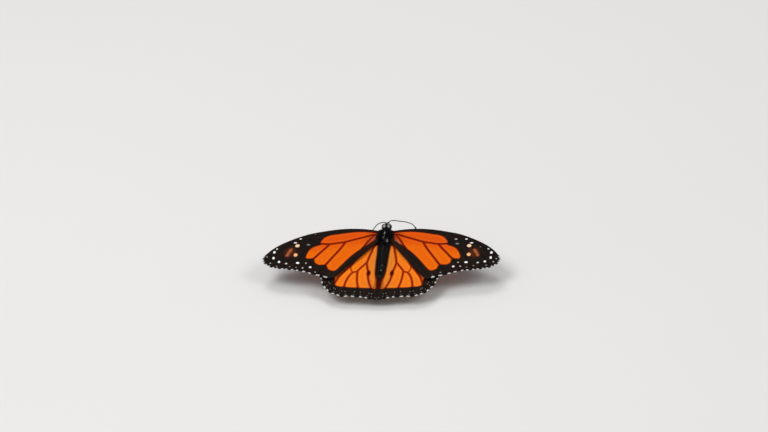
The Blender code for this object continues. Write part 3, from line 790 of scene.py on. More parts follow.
class Finish:
    """A material under construction: each call adds a node and returns its socket."""

    def __init__(self, name):
        self.material = bpy.data.materials.new(name)
        self.material.use_nodes = True
        self.tree = self.material.node_tree
        self.shader = self.tree.nodes["Principled BSDF"]

    def add(self, kind, *inputs, **values):
        node = self.tree.nodes.new("ShaderNode" + kind)
        for key, value in values.items():
            setattr(node, key, value)
        for socket, value in zip(node.inputs, inputs):
            self.feed(socket, value)
        return node

    def feed(self, socket, value):
        if isinstance(value, bpy.types.NodeSocket):
            self.tree.links.new(value, socket)
        elif value is not None:
            socket.default_value = value

    def value(self, name):
        """An attribute of the mesh."""
        return self.add("Attribute", attribute_name=name).outputs["Fac"]

    def math(self, operation, a, b=None, c=None):
        return self.add("Math", a, b, c, operation=operation).outputs[0]

    def plus(self, a, b):
        return self.math("ADD", a, b)

    def times(self, a, b):
        return self.math("MULTIPLY", a, b)

    def swing(self, value, middle, gain):
        """How far value is from middle, times gain."""
        return self.times(self.math("SUBTRACT", value, middle), gain)

    def ramp(self, value, low, high, start=0.0, end=1.0):
        node = self.add("MapRange", value, low, high, start, end, interpolation_type="SMOOTHSTEP")
        return node.outputs[0]

    def blend(self, share, a, b):
        """Colour a where share is 0 and b where it is 1."""
        node = self.add("Mix", data_type="RGBA")
        self.feed(node.inputs[0], share)
        for socket, tone in ((node.inputs[6], a), (node.inputs[7], b)):
            self.feed(socket, tone if isinstance(tone, bpy.types.NodeSocket) else (*tone, 1))
        return node.outputs[2]

    def shaded(self, tone, factor):
        """The colour times a number."""
        tone = tone if isinstance(tone, bpy.types.NodeSocket) else tuple(tone)
        return self.add("VectorMath", tone, None, None, factor, operation="SCALE").outputs[0]

    def stretched(self, place, *scale):
        return self.add("Mapping", place, None, None, scale).outputs[0]

    def metres(self):
        return self.add("TexCoord").outputs["Object"]

    def millimetres(self):
        return self.stretched(self.metres(), 1 / MM, 1 / MM, 1 / MM)

    def noise(self, place, scale, detail=2.0, roughness=0.5):
        return self.add("TexNoise", place, None, scale, detail, roughness).outputs["Fac"]

    def cells(self, place, scale):
        """(distance from the cell's middle, a random colour for each cell)."""
        node = self.add("TexVoronoi", place, None, scale)
        return node.outputs["Distance"], node.outputs["Color"]

    def bump(self, height, depth, strength):
        node = self.add("Bump", strength, depth)
        self.feed(node.inputs["Height"], height)
        self.feed(self.shader.inputs["Normal"], node.outputs[0])

    def finished(self, tone, **values):
        """The material with that colour and the shader's own values."""
        self.feed(self.shader.inputs["Base Color"], tone)
        for key, value in values.items():
            self.shader.inputs[key.replace("_", " ")].default_value = value
        return self.material


class WingFinish(Finish):
    """Orange cells, dark veins and borders, white and cream spots, all from the values of the markings.

    Bounds such as -0.35 are millimetres from the line between orange and black, positive on the black.
    """

    def __init__(self, name):
        super().__init__(name)
        self.wing = settings("wing")
        place = self.millimetres()
        lie = self.add("UVMap", uv_map=LIE_MAP).outputs[0]
        self.scale_rise, scale_colour = self.cells(self.stretched(lie, 7.0, 14.0, 1.0), 1.0)
        self.scale_tone = self.add("SeparateColor", scale_colour).outputs[0]
        self.fine = self.noise(place, 5.0, 3.0, 0.6)
        self.clouds = self.noise(place, 0.35, 3.0, 0.55)
        self.streaks = self.noise(self.stretched(lie, 0.5, 5.0, 1.0), 1.0, 3.0, 0.6)
        self.rays = self.noise(self.stretched(lie, 0.3, 2.4, 1.0), 1.0, 4.0, 0.65)
        self.ragged = self.plus(self.swing(self.fine, 0.5, 0.30), self.swing(self.scale_rise, 0.4, 0.10))
        self.uneven = self.swing(self.rays, 0.5, 1.4)
        self.dark_in = self.plus(self.value("dark"), self.ragged)
        # This line value is the hindwing's buff inner margin and, on the forewing, a painted highlight along
        # the vein by the root
        line_and_highlight_in = self.plus(self.value("blush"), self.times(self.ragged, 2.0))
        self.blush = self.ramp(line_and_highlight_in, -0.1, 0.75, 0.0, 0.8)

    def orange(self, main, second, line_and_highlight_tone, glow):
        """The cells: cloudy, streaked, golden in the open, deep red along the veins, and pale below."""
        clouded = self.plus(self.value("warm"), self.swing(self.clouds, 0.5, 0.5))
        tone = self.blend(self.ramp(clouded, 0.1, 0.9), main, second)
        off_middle = self.ramp(self.dark_in, -1.5, -0.7)
        off_veins = self.ramp(self.dark_in, -0.35, -0.7, 0.0, glow)
        tone = self.blend(self.times(off_middle, off_veins), tone, self.wing.hind_gold)
        streaked = self.ramp(self.streaks, 0.2, 0.8, 0.88, 1.1)
        # This factor darkens the roots and the hindwing's inner margin, and holds the hindwing's painted
        # light by the forewing's rear edge
        tone = self.shaded(tone, self.times(streaked, self.value("shade")))
        # Over the cells: the hindwing's buff line and the forewing's painted highlight by the root
        tone = self.blend(self.blush, tone, line_and_highlight_tone)
        tone = self.blend(self.ramp(self.dark_in, -0.42, -0.02, 0.0, 0.85), tone, self.wing.vein_red)
        pale = self.blend(self.ramp(self.dark_in, -0.5, -0.12), self.wing.under_buff, self.wing.under_edge)
        return self.blend(self.times(self.value("under"), self.value("buff")), tone, pale)

    def dark(self, vein):
        """Veins, borders and the tip: reddish between the cells, black outside them and below."""
        in_border = self.math("MAXIMUM", self.ramp(self.value("border"), -0.5, 0.45),
                              self.times(self.value("under"), 0.9))
        vein = self.shaded(vein, self.math("MULTIPLY_ADD", self.value("deep"), -0.55, 1.0))
        tone = self.blend(in_border, vein, self.wing.black)
        tone = self.blend(self.value("root"), tone, self.wing.fore_root)
        brownish = self.times(self.ramp(self.rays, 0.42, 0.72), self.ramp(self.value("nearest"), 0.2, 0.9))
        return self.blend(brownish, tone, self.wing.tip_brown)

    def with_marks(self, tone, line_and_highlight_tone):
        """The rust streak in its haze, the pale line and painted highlight over the dark, and the spots."""
        haze = self.ramp(self.plus(self.value("haze"), self.uneven), -0.3, 0.8, 0.0, 0.8)
        haze = self.times(haze, self.ramp(self.value("border"), 0.3, 1.0))
        tone = self.blend(haze, tone, self.wing.rust_dark)
        rust_in = self.plus(self.value("rust"), self.times(self.plus(self.ragged, self.uneven), 0.8))
        tone = self.blend(self.ramp(rust_in, 0.1, 0.85, 0.0, 0.95), tone, self.wing.rust)
        # The forewing's painted highlight by the root and the hindwing's buff line, carried over the dark
        over_dark = self.times(self.blush, self.ramp(self.value("border"), -1.1, -0.5))
        tone = self.blend(self.times(over_dark, 0.85), tone, line_and_highlight_tone)
        spot_in = self.plus(self.value("spot"), self.times(self.ragged, 0.8))
        spot_tone = self.blend(self.value("cream"), settings("body").white, self.wing.cream)
        spot = self.times(self.ramp(spot_in, -0.05, 0.14), self.value("light"))
        return self.blend(spot, tone, spot_tone)

    def finish(self, main, second, vein, line_and_highlight_tone, glow):
        """main and second are the cells' two oranges, and glow is the share of gold in the open."""
        edge = self.ramp(self.dark_in, -0.08, 0.10)
        tone = self.blend(edge, self.orange(main, second, line_and_highlight_tone, glow), self.dark(vein))
        tone = self.with_marks(tone, line_and_highlight_tone)
        tone = self.shaded(tone, self.math("MULTIPLY_ADD", self.scale_tone, 0.24, 0.88))
        self.bump(self.plus(self.times(self.scale_rise, -0.6), self.times(self.fine, 0.5)), 0.00004, 0.8)
        return self.finished(tone, Roughness=0.6, IOR=1.45, Specular_IOR_Level=0.02)


def coat_finish():
    """Hair and scales of the body: black, greyer by the wing roots, white in the dots."""
    body = settings("body")
    f = Finish("coat")
    dark = f.blend(f.value("grey"), body.black, body.grey)
    dark = f.shaded(dark, f.math("MULTIPLY_ADD", f.value("tone"), 0.9, 0.55))
    light = f.shaded(body.white, f.math("MULTIPLY_ADD", f.value("tone"), 0.15, 0.9))
    f.bump(f.noise(f.millimetres(), 30.0), 0.00001, 0.5)
    tone = f.blend(f.value("mark"), dark, light)
    return f.finished(tone, Roughness=0.36, IOR=1.5, Specular_IOR_Level=0.09)


def skin_finish():
    """Bare skin under the coat: satin black with small flat scales and the same dots."""
    body = settings("body")
    f = Finish("skin")
    place = f.millimetres()
    rough = f.noise(place, 3.0, 4.0, 0.6)
    dark = f.blend(f.value("grey"), body.black, body.grey)
    dark = f.shaded(dark, f.math("MULTIPLY_ADD", rough, 0.8, 0.5))
    mark = f.ramp(f.plus(f.value("mark"), f.swing(rough, 0.5, 0.5)), 0.35, 0.6)
    f.bump(f.plus(f.cells(place, 7.0)[0], rough), 0.00004, 0.7)
    return f.finished(f.blend(mark, dark, body.white), Roughness=0.17, IOR=1.5, Specular_IOR_Level=1.0)


def eye_finish():
    """Glossy black-brown with fine facets."""
    body = settings("body")
    f = Finish("compound_eye")
    place = f.millimetres()
    facets, _ = f.cells(place, 17.0)
    tone = f.blend(f.ramp(f.noise(place, 1.2, 3.0, 0.6), 0.3, 0.75), body.eye_black, body.eye_brown)
    tone = f.shaded(tone, f.ramp(facets, 0.0, 0.6, 1.4, 0.6))
    f.bump(f.times(facets, -1.0), 0.000012, 0.6)
    return f.finished(tone, Roughness=0.14, IOR=1.5, Specular_IOR_Level=0.5, Coat_Weight=0.2,
                      Coat_Roughness=0.05)


def shell_finish():
    """Legs, feelers and tongue: satin black with small scales and paler dots."""
    limb = settings("limb")
    f = Finish("limb_shell")
    place = f.millimetres()
    rough = f.noise(place, 2.2, 4.0, 0.6)
    mark = f.ramp(f.plus(f.value("mark"), f.swing(rough, 0.5, 0.4)), 0.4, 0.6)
    dark = f.blend(f.ramp(rough, 0.4, 0.8), limb.shell, limb.worn_shell)
    f.bump(f.plus(f.cells(place, 11.0)[0], rough), 0.00002, 0.6)
    tone = f.blend(mark, dark, settings("body").white)
    return f.finished(tone, Roughness=0.34, IOR=1.5, Specular_IOR_Level=0.3)


def floor_finish():
    """Pale and matt, with soft clouds and a fine grain."""
    f = Finish("floor")
    place = f.metres()
    clouds = f.math("MULTIPLY_ADD", f.noise(place, 3.0, 4.0), 0.05, 0.975)
    f.bump(f.noise(place, 900.0), 0.0001, 0.15)
    return f.finished(f.shaded(settings("stage").floor_tone, clouds), Roughness=0.75)


# Tufts

# Side of a tuft's patch on the bake map, its number of points, and how thick a hair is for its width
TUFT_PATCH = 0.0028
TUFT_POINTS = 7
HAIR_FLAT = 0.45
# A tuft's two rings: place along its length and width, as shares of the whole
TUFT_RINGS = ((-0.06, 0.8), (0.45, 1.0))
# The corners of a ring: half widths across and half thicknesses up
RING_CORNERS = ((-1, -1), (1, -1), (0, 1.6))
# Faces of a tuft, whose points are its two rings and its tip
TUFT_SIDES = ((0, 1, 4, 3), (1, 2, 5, 4), (2, 0, 3, 5))
TUFT_ENDS = ((3, 4, 6), (4, 5, 6), (5, 3, 6), (2, 1, 0))
# Where a tuft's points lie in its patch of the bake map
PATCH_PLACES = ((0.1, 0.0), (0.9, 0.0), (0.5, 0.1), (0.2, 0.45), (0.8, 0.45), (0.5, 0.55), (0.5, 1.0))


def tufts(name, roots, directions, sideways, lengths, widths, bends, patches, values, flat=HAIR_FLAT):
    """Joined tapering blades, each from its root along its direction and leaning over by its bend.

    sideways is a blade's broad way, flat its thickness as a share of its width, and patches are the places
    of the blades on the bake map.
    """
    directions = directions / np.linalg.norm(directions, axis=1)[:, None]
    sideways = sideways - np.sum(sideways * directions, axis=1)[:, None] * directions
    sideways /= np.maximum(np.linalg.norm(sideways, axis=1), 1e-9)[:, None]
    third = np.cross(directions, sideways)
    half = (widths / 2)[:, None]
    corners = []
    lengths = lengths[:, None]
    for share, swell in TUFT_RINGS:
        middle = roots + directions * (lengths * share) + bends * (lengths * max(share, 0) ** 2)
        for across, over in RING_CORNERS:
            corners.append(middle + swell * half * (across * sideways + over * flat * third))
    tip = roots + directions * lengths + bends * lengths
    points = np.stack([*corners, tip], axis=1).reshape(-1, 3)
    first = (np.arange(len(roots)) * TUFT_POINTS)[:, None]
    quads = np.concatenate([first + np.array([side]) for side in TUFT_SIDES])
    triangles = np.concatenate([first + np.array([end]) for end in TUFT_ENDS])
    mesh = new_mesh(name, shifted(points, TO_FLOOR), quads, triangles)
    add_values(mesh, **{key: np.repeat(value, TUFT_POINTS) for key, value in values.items()})
    corner = vertex_of_corner(mesh)
    starts = np.clip(patches, 0, 1 - TUFT_PATCH)[corner // TUFT_POINTS]
    add_map(mesh, BAKE_MAP, starts + TUFT_PATCH * np.array(PATCH_PLACES)[corner % TUFT_POINTS])
    return mesh


def scatter(mesh, count, weight, rng):
    """(places, normals) of count tufts on a mesh, in the body's frame; weight says how thick they stand."""
    to_body = TO_FLOOR.inverted()
    points = shifted(points_of(mesh), to_body)
    normals = points_of(mesh, "normal") @ np.array(to_body)[:3, :3].T
    normals /= np.maximum(np.linalg.norm(normals, axis=1), 1e-9)[:, None]
    mesh.calc_loop_triangles()
    corners = np.zeros(len(mesh.loop_triangles) * 3, np.int32)
    mesh.loop_triangles.foreach_get("vertices", corners)
    corners = corners.reshape(-1, 3)
    a, b, c = (points[corners[:, k]] for k in range(3))
    area = np.linalg.norm(np.cross(b - a, c - a), axis=1) / 2
    wanted = area * weight((a + b + c) / 3)
    picks = rng.choice(len(area), size=count, p=wanted / wanted.sum())
    r1, r2 = np.sqrt(rng.random(count)), rng.random(count)
    shares = np.stack([1 - r1, r1 * (1 - r2), r1 * r2], axis=1)[:, :, None]
    roots = (points[corners[picks]] * shares).sum(axis=1)
    out = (normals[corners[picks]] * shares).sum(axis=1)
    return roots, out / np.linalg.norm(out, axis=1)[:, None]


def along_skin(flow, normals, lift):
    """Directions that follow flow over the skin, raised by lift (radians)."""
    flow = flow - np.sum(flow * normals, axis=1)[:, None] * normals
    flow /= np.maximum(np.linalg.norm(flow, axis=1), 1e-6)[:, None]
    return flow * np.cos(lift)[:, None] + normals * np.sin(lift)[:, None]


# Body

# Width of the unrolled skin on the bake map, and where the palps start
MAP_WIDTH = 0.92
PALP_BASE = 7.25


def body_section(y):
    """(height of the axis, radius) of the bare trunk and abdomen at y."""
    share = np.clip((ABDOMEN_START - y) / (ABDOMEN_START - ABDOMEN_TIP), 0, 1)
    waist = 1 - 0.22 * np.exp(-share / 0.07)
    taper = (1 - np.maximum(0, share - 0.35) / 0.72) ** 0.75
    rear = np.stack([-1.2 - 0.9 * share**1.5, ABDOMEN_RADIUS * waist * taper - 0.13])
    stations, heights, radii = np.array(TRUNK[::-1]).T
    trunk = np.stack([np.interp(y, stations, heights), np.interp(y, stations, radii)])
    behind = ramp(-y, 3.6, 4.4)
    return trunk * (1 - behind) + rear * behind


def body_loft():
    """Trunk and abdomen as one closed tube."""
    rounded_end = ABDOMEN_TIP + np.array([0.3, 0.14])
    stops = np.concatenate([np.linspace(TRUNK[0][0], ABDOMEN_TIP + 0.5, 110), rounded_end])
    heights, radii = body_section(stops)
    radii[-3:] *= (0.9, 0.7, 0.4)
    return add_tube([(0, y, z) for y, z in zip(stops, heights)], radii, 10)


def ring_place(y):
    """How many rings of the abdomen lie in front of y."""
    return (ABDOMEN_START - y) / (ABDOMEN_START - ABDOMEN_TIP) * ABDOMEN_SEGMENTS


def body_marks(points, normals):
    """Share of white at points of the skin: dots in front, bars on the abdomen, and painted glints on top of
    its rear rings' edges.
    """
    mark = np.zeros(len(points))
    for centre, radius in BODY_DOTS:
        inside = radius - np.linalg.norm(folded(points) - centre, axis=1)
        mark = np.maximum(mark, ramp(inside, -0.12, 0.12))
    place = ring_place(points[:, 1])
    in_ring = place - np.floor(place)
    up, out = normals[:, 2], np.abs(normals[:, 0])
    belly_bars = ramp(-up, 0.45, 0.75) * ramp(out, 0.12, 0.3) * ramp(in_ring, 0.55, 0.75)
    flank_dots = ramp(0.16 - np.abs(up + 0.12), 0, 0.1) * ramp(0.2 - np.abs(in_ring - 0.55), 0, 0.1)
    # Painted glints: white along the rear rings' edges on the upward-facing side only
    ring_glints = ramp(0.10 - np.abs(place - np.round(place)), 0, 0.05) * ramp(up, 0.1, 0.4)
    return np.max([
        mark,
        0.75 * belly_bars * (place > 0.2),
        0.35 * flank_dots * ((place > 0.4) & (place < 7)),
        0.405 * ring_glints * ((place > 4.5) & (place < 7.5)),
    ], axis=0)


def body_greys(points, normals):
    """Share of brownish grey: flanks of the thorax and by the wing roots."""
    beside = ramp(np.abs(points[:, 0]), 1.7, 2.7) * ramp(np.abs(points[:, 1]), 5.2, 3.2)
    rear = 0.35 * ramp(-points[:, 1], 2.0, 5.0) * ramp(np.abs(normals[:, 0]), 0.3, 0.8)
    return np.clip(beside * 0.75 + rear, 0, 1)


def skin_place(points):
    """Place on the unrolled skin, round the body's axis and along it. The palps have their own strip."""
    x, y, z = points.T
    turn = np.arctan2(x, z - body_section(y)[0]) / (2 * np.pi) + 0.5
    on_body = np.stack([0.02 + MAP_WIDTH * turn, 0.01 + 0.91 * (y - ABDOMEN_TIP + 0.2) / 34.8])
    palp_turn = np.arctan2(y - 7.6, np.abs(x) - 0.55) / (2 * np.pi) + 0.5
    on_palp = np.stack([np.where(x > 0, 0.05, 0.5) + 0.38 * palp_turn, 0.94 + 0.05 * ramp(z, -1.8, 0.8)])
    return np.where(y > PALP_BASE, on_palp, on_body).T


def skin_rings(body, points, normals):
    """How far each point moves out: the abdomen's rings, their grooves, and a fold along each side."""
    place = ring_place(points[:, 1])
    on_abdomen = ramp(place, 0.3, 0.6) * ramp(-place, -7.7, -7.3)
    groove = body.groove / MM * np.exp(-((place - np.round(place)) / 0.06) ** 2)
    side_fold = -0.07 * np.exp(-((normals[:, 2] + 0.3) / 0.08) ** 2)
    return on_abdomen * (0.05 * np.sin(np.pi * (place - np.floor(place))) - groove + side_fold)


class OBJECT_OT_butterfly_skin(bpy.types.Operator):
    """Head, palps, collar, thorax, wing covers and abdomen as one skin"""
    bl_idname = "object.butterfly_skin"
    bl_label = "Skin"

    def execute(self, context):
        body = settings("body")
        skin = join(self.solid_parts(), "body_skin")
        apply_modifier(skin, "REMESH", mode="VOXEL", voxel_size=body.voxel / MM)
        apply_modifier(skin, "SMOOTH", factor=0.5, iterations=7)
        mesh = skin.data
        points, normals = points_of(mesh), points_of(mesh, "normal")
        points = points + normals * skin_rings(body, points, normals)[:, None]
        mesh.vertices.foreach_set("co", shifted(points, TO_FLOOR).astype(np.float32).ravel())
        mesh.update()
        add_values(mesh, mark=body_marks(points, normals), grey=body_greys(points, normals))
        places = skin_place(points)[vertex_of_corner(mesh)].reshape(-1, 4, 2)
        wraps = np.ptp(places[:, :, 0], axis=1)[:, None] > 0.5
        places[:, :, 0] += np.where(wraps & (places[:, :, 0] < 0.3), MAP_WIDTH, 0)
        add_map(mesh, BAKE_MAP, np.clip(places.reshape(-1, 2), 0, 1))
        declare(skin, skin_finish(), FLESH)
        return {"FINISHED"}

    def solid_parts(self):
        parts = [body_loft()]
        for centre, half in LUMPS:
            parts += [add_ball(spot, half) for spot in both_sides(centre)]
        for side in SIDES.values():
            route = spline([on_side(point, side) for point in PALP_ROUTE], 20)
            parts.append(add_tube(route, np.interp(np.linspace(0, 4, 20), range(5), PALP_RADII)))
            parts.append(add_ball(on_side(TEGULA_CENTRE, side), TEGULA_HALF, (0, side * TEGULA_TILT, 0)))
        return parts


# Coat. Each stretch has a weight, which says how thick the tufts stand at points of the skin, and a lie,
# which gives for each root the flow over the skin, extra lift in degrees, length and width as shares of the
# usual, and the bend.

def from_bare(points):
    """Distance to the nearest bare patch's middle, in half sizes."""
    return np.min([unit_distance(points, centre, half) for centre, half in BARE_PATCHES], axis=0)


def thorax_weight(points):
    on = (points[:, 1] > -4.4) & (points[:, 1] < 4.9)
    return on * ramp(from_bare(points), 0.6, 1.05) * (0.75 + 0.5 * (np.abs(points[:, 0]) > 1.8))


def thorax_lie(roots, normals):
    side = np.sign(roots[:, 0])
    flank = ramp(np.abs(normals[:, 0]), 0.35, 0.85)
    collar = ramp(roots[:, 1], 3.0, 4.2)
    shoulder = ramp(roots[:, 1], 1.9, 2.7) * ramp(np.abs(roots[:, 0]), 1.0, 1.9)
    shoulder *= ramp(normals[:, 2], -0.4, 0.1)
    flow = columns(side * (0.15 + 0.9 * flank), -1.0 - 0.2 * flank, -0.25 * flank)
    flow += shoulder[:, None] * columns(1.3 * side, 1.15, 0)
    length_share = (1 + 0.7 * flank - 0.35 * collar) * (1 + 0.55 * shoulder)
    length_share *= 0.4 + 0.6 * ramp(from_bare(roots), 1.0, 2.6)
    lift = 16 * flank + 14 * collar + 8 * shoulder
    return flow, lift, length_share, 1, columns(0.1 * side, -0.25, -0.12)


def head_weight(points):
    in_eye = unit_distance(folded(points), EYE_CENTRE, EYE_HALF) < 1.0
    return ((points[:, 1] >= 4.9) & ~in_eye) * (1 + 0.6 * (points[:, 1] > 7.2))


def head_lie(roots, normals):
    side = np.sign(roots[:, 0])
    front = ramp(roots[:, 1], 6.2, 6.9)
    palp = ramp(roots[:, 1], 7.2, 7.45)
    flow = columns(side * 0.35, -0.8 + 1.1 * front, 0.35 - 0.5 * front)
    flow = flow * (1 - palp)[:, None] + np.array([0, 0.15, 1.0]) * palp[:, None]
    return flow, 0, 1 + 0.35 * palp, 1, np.array([0, 0.05, -0.1])


def abdomen_weight(points):
    return (points[:, 1] < -4.0).astype(float)


def abdomen_lie(roots, normals):
    front = ramp(roots[:, 1], -7.5, -4.2)
    tip = ramp(-roots[:, 1], 24.6, 26.0)
    flow = columns(0.12 * np.sign(roots[:, 0]), -1, -0.05)
    length_share = 1 + 0.9 * front + 0.4 * tip
    return flow, 14 * front + 12 * tip, length_share, 1 - 0.4 * front, np.array([0, 0, -0.04])


# spread is how much the flow varies. lift (in degrees), length and width are ranges.
COAT = {
    "thorax": {
        "nodes": ["thorax", "collar", "tegula_right", "tegula_left"], "weight": thorax_weight,
        "lie": thorax_lie, "spread": 0.22, "lift": (8, 26), "length": (0.6, 1.15), "width": (0.055, 0.095),
        "flat": HAIR_FLAT,
    },
    "head": {
        "nodes": ["head", "palp_right", "palp_left"], "weight": head_weight,
        "lie": head_lie, "spread": 0.25, "lift": (18, 48), "length": (0.55, 1.2), "width": (0.035, 0.065),
        "flat": HAIR_FLAT,
    },
    "abdomen": {
        "nodes": ["abdomen"], "weight": abdomen_weight,
        "lie": abdomen_lie, "spread": 0.1, "lift": (5, 15), "length": (0.65, 1.15), "width": (0.10, 0.16),
        "flat": 0.16,
    },
}


def tuft_values(mark, grey, rng):
    """Attribute values of tufts, with a random tone for each."""
    return {"mark": mark, "grey": grey, "tone": rng.random(len(mark))}


class OBJECT_OT_butterfly_coat(bpy.types.Operator):
    """Hair of head and thorax and scales of the abdomen"""
    bl_idname = "object.butterfly_coat"
    bl_label = "Coat"

    def execute(self, context):
        skin = bpy.data.objects["body_skin"].data
        material = coat_finish()
        rng = np.random.default_rng(11)
        for name, stretch in COAT.items():
            add_piece(self.grow(name, stretch, skin, rng), material, stretch["nodes"])
        return {"FINISHED"}

    def grow(self, name, stretch, skin, rng):
        body = settings("body")
        count, hair = getattr(body, name + "_tufts"), getattr(body, name + "_hair") / MM
        roots, normals = scatter(skin, count, stretch["weight"], rng)
        flow, extra_lift, length_share, width_share, bends = stretch["lie"](roots, normals)
        flow = flow + rng.normal(0, stretch["spread"], (count, 3))
        lift = np.radians(rng.uniform(*stretch["lift"], count) + extra_lift)
        lengths = hair * rng.uniform(*stretch["length"], count) * length_share
        widths = rng.uniform(*stretch["width"], count) * width_share
        mark = (body_marks(roots, normals) > rng.uniform(0.35, 0.6, count)).astype(float)
        grey = body_greys(roots, normals) * rng.uniform(0.4, 1.0, count)
        values = tuft_values(mark, grey, rng)
        return tufts("coat_" + name, roots, along_skin(flow, normals, lift), np.cross(normals, flow),
                     lengths, widths, bends, skin_place(roots), values, stretch["flat"])


# Wings

# How far a vein's relief and the sag beside it reach, and how far the scent spot stands out
VEIN_SPREAD, PLEAT_SPREAD = 0.24, 1.4
SCENT_RELIEF = 0.22
# Gap between the two faces on the bake map, and the share of the map that is used
SHEET_GAP = 1.0
MAP_SHARE = 0.98
# Distance from one fringe scale to the next, and how far its root lies inside the edge
FRINGE_STEP = 0.028
FRINGE_ROOT = 0.12
FOREWING_HAIRS, HINDWING_HAIRS = 600, 700
PATCH_STEPS = 2000
STRAIGHT = np.zeros(3)


def sheet_heights(places, height, values, inset, face):
    """Heights of one face of a sheet: raised at veins and scent spot, sagging between them, thin at the rim.

    face is 1 for the upper one and -1 for the lower one, and inset the distance from the rim.
    """
    wing = settings("wing")
    taper = np.clip(0.3 + inset / 0.8, 0, 1)
    relief = wing.vein_relief / MM * np.exp(-(values["nearest"] / VEIN_SPREAD) ** 2)
    if "scent" in values and face > 0:
        relief = relief + SCENT_RELIEF * ramp(values["scent"], -0.15, 0.35)
    sag = wing.pleat / MM * (np.exp(-(values["nearest"] / PLEAT_SPREAD) ** 2) - 1) * ramp(inset, 0, 2)
    return height(*places.T) + sag + face * (wing.thickness / MM / 2 * taper + relief * taper)


def sheet_faces(steps_out, steps_round, side):
    """Faces of a sheet and of the wall round it; its lower points are numbered after the upper ones."""
    number = np.arange(steps_out * steps_round).reshape(steps_out, steps_round)
    cells = np.stack([number[:-1, :-1], number[1:, :-1], number[1:, 1:], number[:-1, 1:]], axis=-1)
    cells = cells.reshape(-1, 4)
    rim = np.concatenate([number[:, 0], number[-1, 1:], number[:-1, -1][::-1], number[0, 1:-1][::-1]])
    after = np.roll(rim, -1)
    walls = np.stack([rim + number.size, after + number.size, after, rim], axis=-1)
    quads = np.concatenate([cells, cells[:, ::-1] + number.size, walls])
    return quads if side > 0 else quads[:, ::-1]


def add_wing_maps(mesh, flat, lie):
    """The bake map, with the lower face beside the upper one, and the map along the rows of scales."""
    corner = vertex_of_corner(mesh)
    below = (corner >= len(flat)).reshape(-1, 4).all(axis=1).repeat(4)
    place = flat[corner % len(flat)]
    lowest, span = flat.min(axis=0), np.ptp(flat, axis=0)
    size = max(span[0], span[1] * 2 + SHEET_GAP)
    spot = (place - lowest) / size * MAP_SHARE + 0.01
    spot[:, 1] += np.where(below, 0, (span[1] + SHEET_GAP) / size * MAP_SHARE)
    add_map(mesh, BAKE_MAP, spot)
    cos, sin = math.cos(lie), math.sin(lie)
    add_map(mesh, LIE_MAP, place @ np.array([[cos, -sin], [sin, cos]]))


def wing_mesh(name, kind, side):
    """A closed thin sheet with raised veins; both faces carry the values of their markings."""
    edges = wing_edges(kind["plan"])
    _, outer, rear, front = edges
    grid = wing_plane(edges)
    flat = grid.reshape(-1, 2)
    rim = np.vstack([rear, outer[1:], front[::-1][1:]])
    inset = distance_to(flat, rim[::3])
    faces, face_values = [], []
    for face in (1, -1):
        values = kind["markings"](flat, side, face < 0)
        level = sheet_heights(flat, kind["height"], values, inset, face)
        faces.append(np.column_stack([side * flat[:, 0], flat[:, 1], level]))
        values.pop("scent", None)
        values["dark"] = soft_max(values.pop("band"), values["border"], 0.55)
        values["under"] = np.full(len(flat), float(face < 0))
        face_values.append(values)
    mesh = new_mesh(name, shifted(np.vstack(faces), TO_FLOOR), sheet_faces(*grid.shape[:2], side))
    upper, lower = face_values
    add_values(mesh, **{key: np.concatenate([upper[key], lower[key]]) for key in upper})
    add_wing_maps(mesh, flat, kind["plan"]["lie"])
    return mesh


def on_wing(kind, places, side, over):
    """Places of the plan put on the wing's surface, raised by over."""
    return columns(side * places[:, 0], places[:, 1], kind["height"](*places.T) + over)


def on_line(line, share):
    """Points at the given shares of a line's steps."""
    at = share * (len(line) - 1)
    return np.stack([np.interp(at, np.arange(len(line)), axis) for axis in line.T], axis=1)


def edge_white(plan, share, rng):
    """1 for the scales in the white patches of the outer edge, 0 for the others."""
    cell, across, widths = cell_share(plan["vein_ends"], PATCH_STEPS + 1)
    step = (share * PATCH_STEPS).astype(int)
    gap = from_patch(across[step], widths[cell[step]])
    in_patch = gap < PATCH_SHARE + rng.normal(0, 0.012, len(share))
    return (in_patch & (cell[step] >= plan["plain_cells"])).astype(float)


def patch_starts(places, margin):
    """Where a wing's tufts lie on the bake map: as they stand on the wing."""
    return (places - places.min(axis=0)) / np.ptp(places, axis=0).max() * MAP_SHARE + margin


def level_across(directions):
    """A level way across each direction."""
    return columns(-directions[:, 1], directions[:, 0], 0)


def fringe_mesh(name, kind, side, rng):
    """Scales along the wing's outer and rear edges: white between the veins, black at them."""
    _, outer, rear, _ = wing_edges(kind["plan"])
    parts = []
    for line in (outer, rear[len(rear) // 6:]):
        run = np.linalg.norm(np.diff(line, axis=0), axis=1).sum()
        share = np.sort(rng.random(int(run / FRINGE_STEP)))
        white = edge_white(kind["plan"], share, rng) if line is outer else np.zeros(len(share))
        parts.append((on_line(line, share), on_line(outward_of(line), share), white))
    places, out, white = (np.concatenate(part) for part in zip(*parts))
    count = len(places)
    inner = places - FRINGE_ROOT * out
    roots = on_wing(kind, inner, side, rng.uniform(-0.05, 0.05, count))
    spread = rng.normal(0, 0.16, count)[:, None]
    turned = out + spread * columns(-out[:, 1], out[:, 0])
    directions = columns(side * turned[:, 0], turned[:, 1], rng.normal(-0.03, 0.07, count))
    lengths = FRINGE_ROOT + settings("wing").fringe / MM * (0.75 + 0.35 * white)
    lengths = lengths * rng.uniform(0.75, 1.1, count)
    values = tuft_values(white * rng.uniform(0.75, 1.0, count), rng.uniform(0, 0.25, count), rng)
    widths = rng.uniform(0.09, 0.15, count)
    return tufts(name, roots, directions, level_across(directions), lengths, widths, STRAIGHT,
                 patch_starts(places, 0.005), values, flat=0.12)


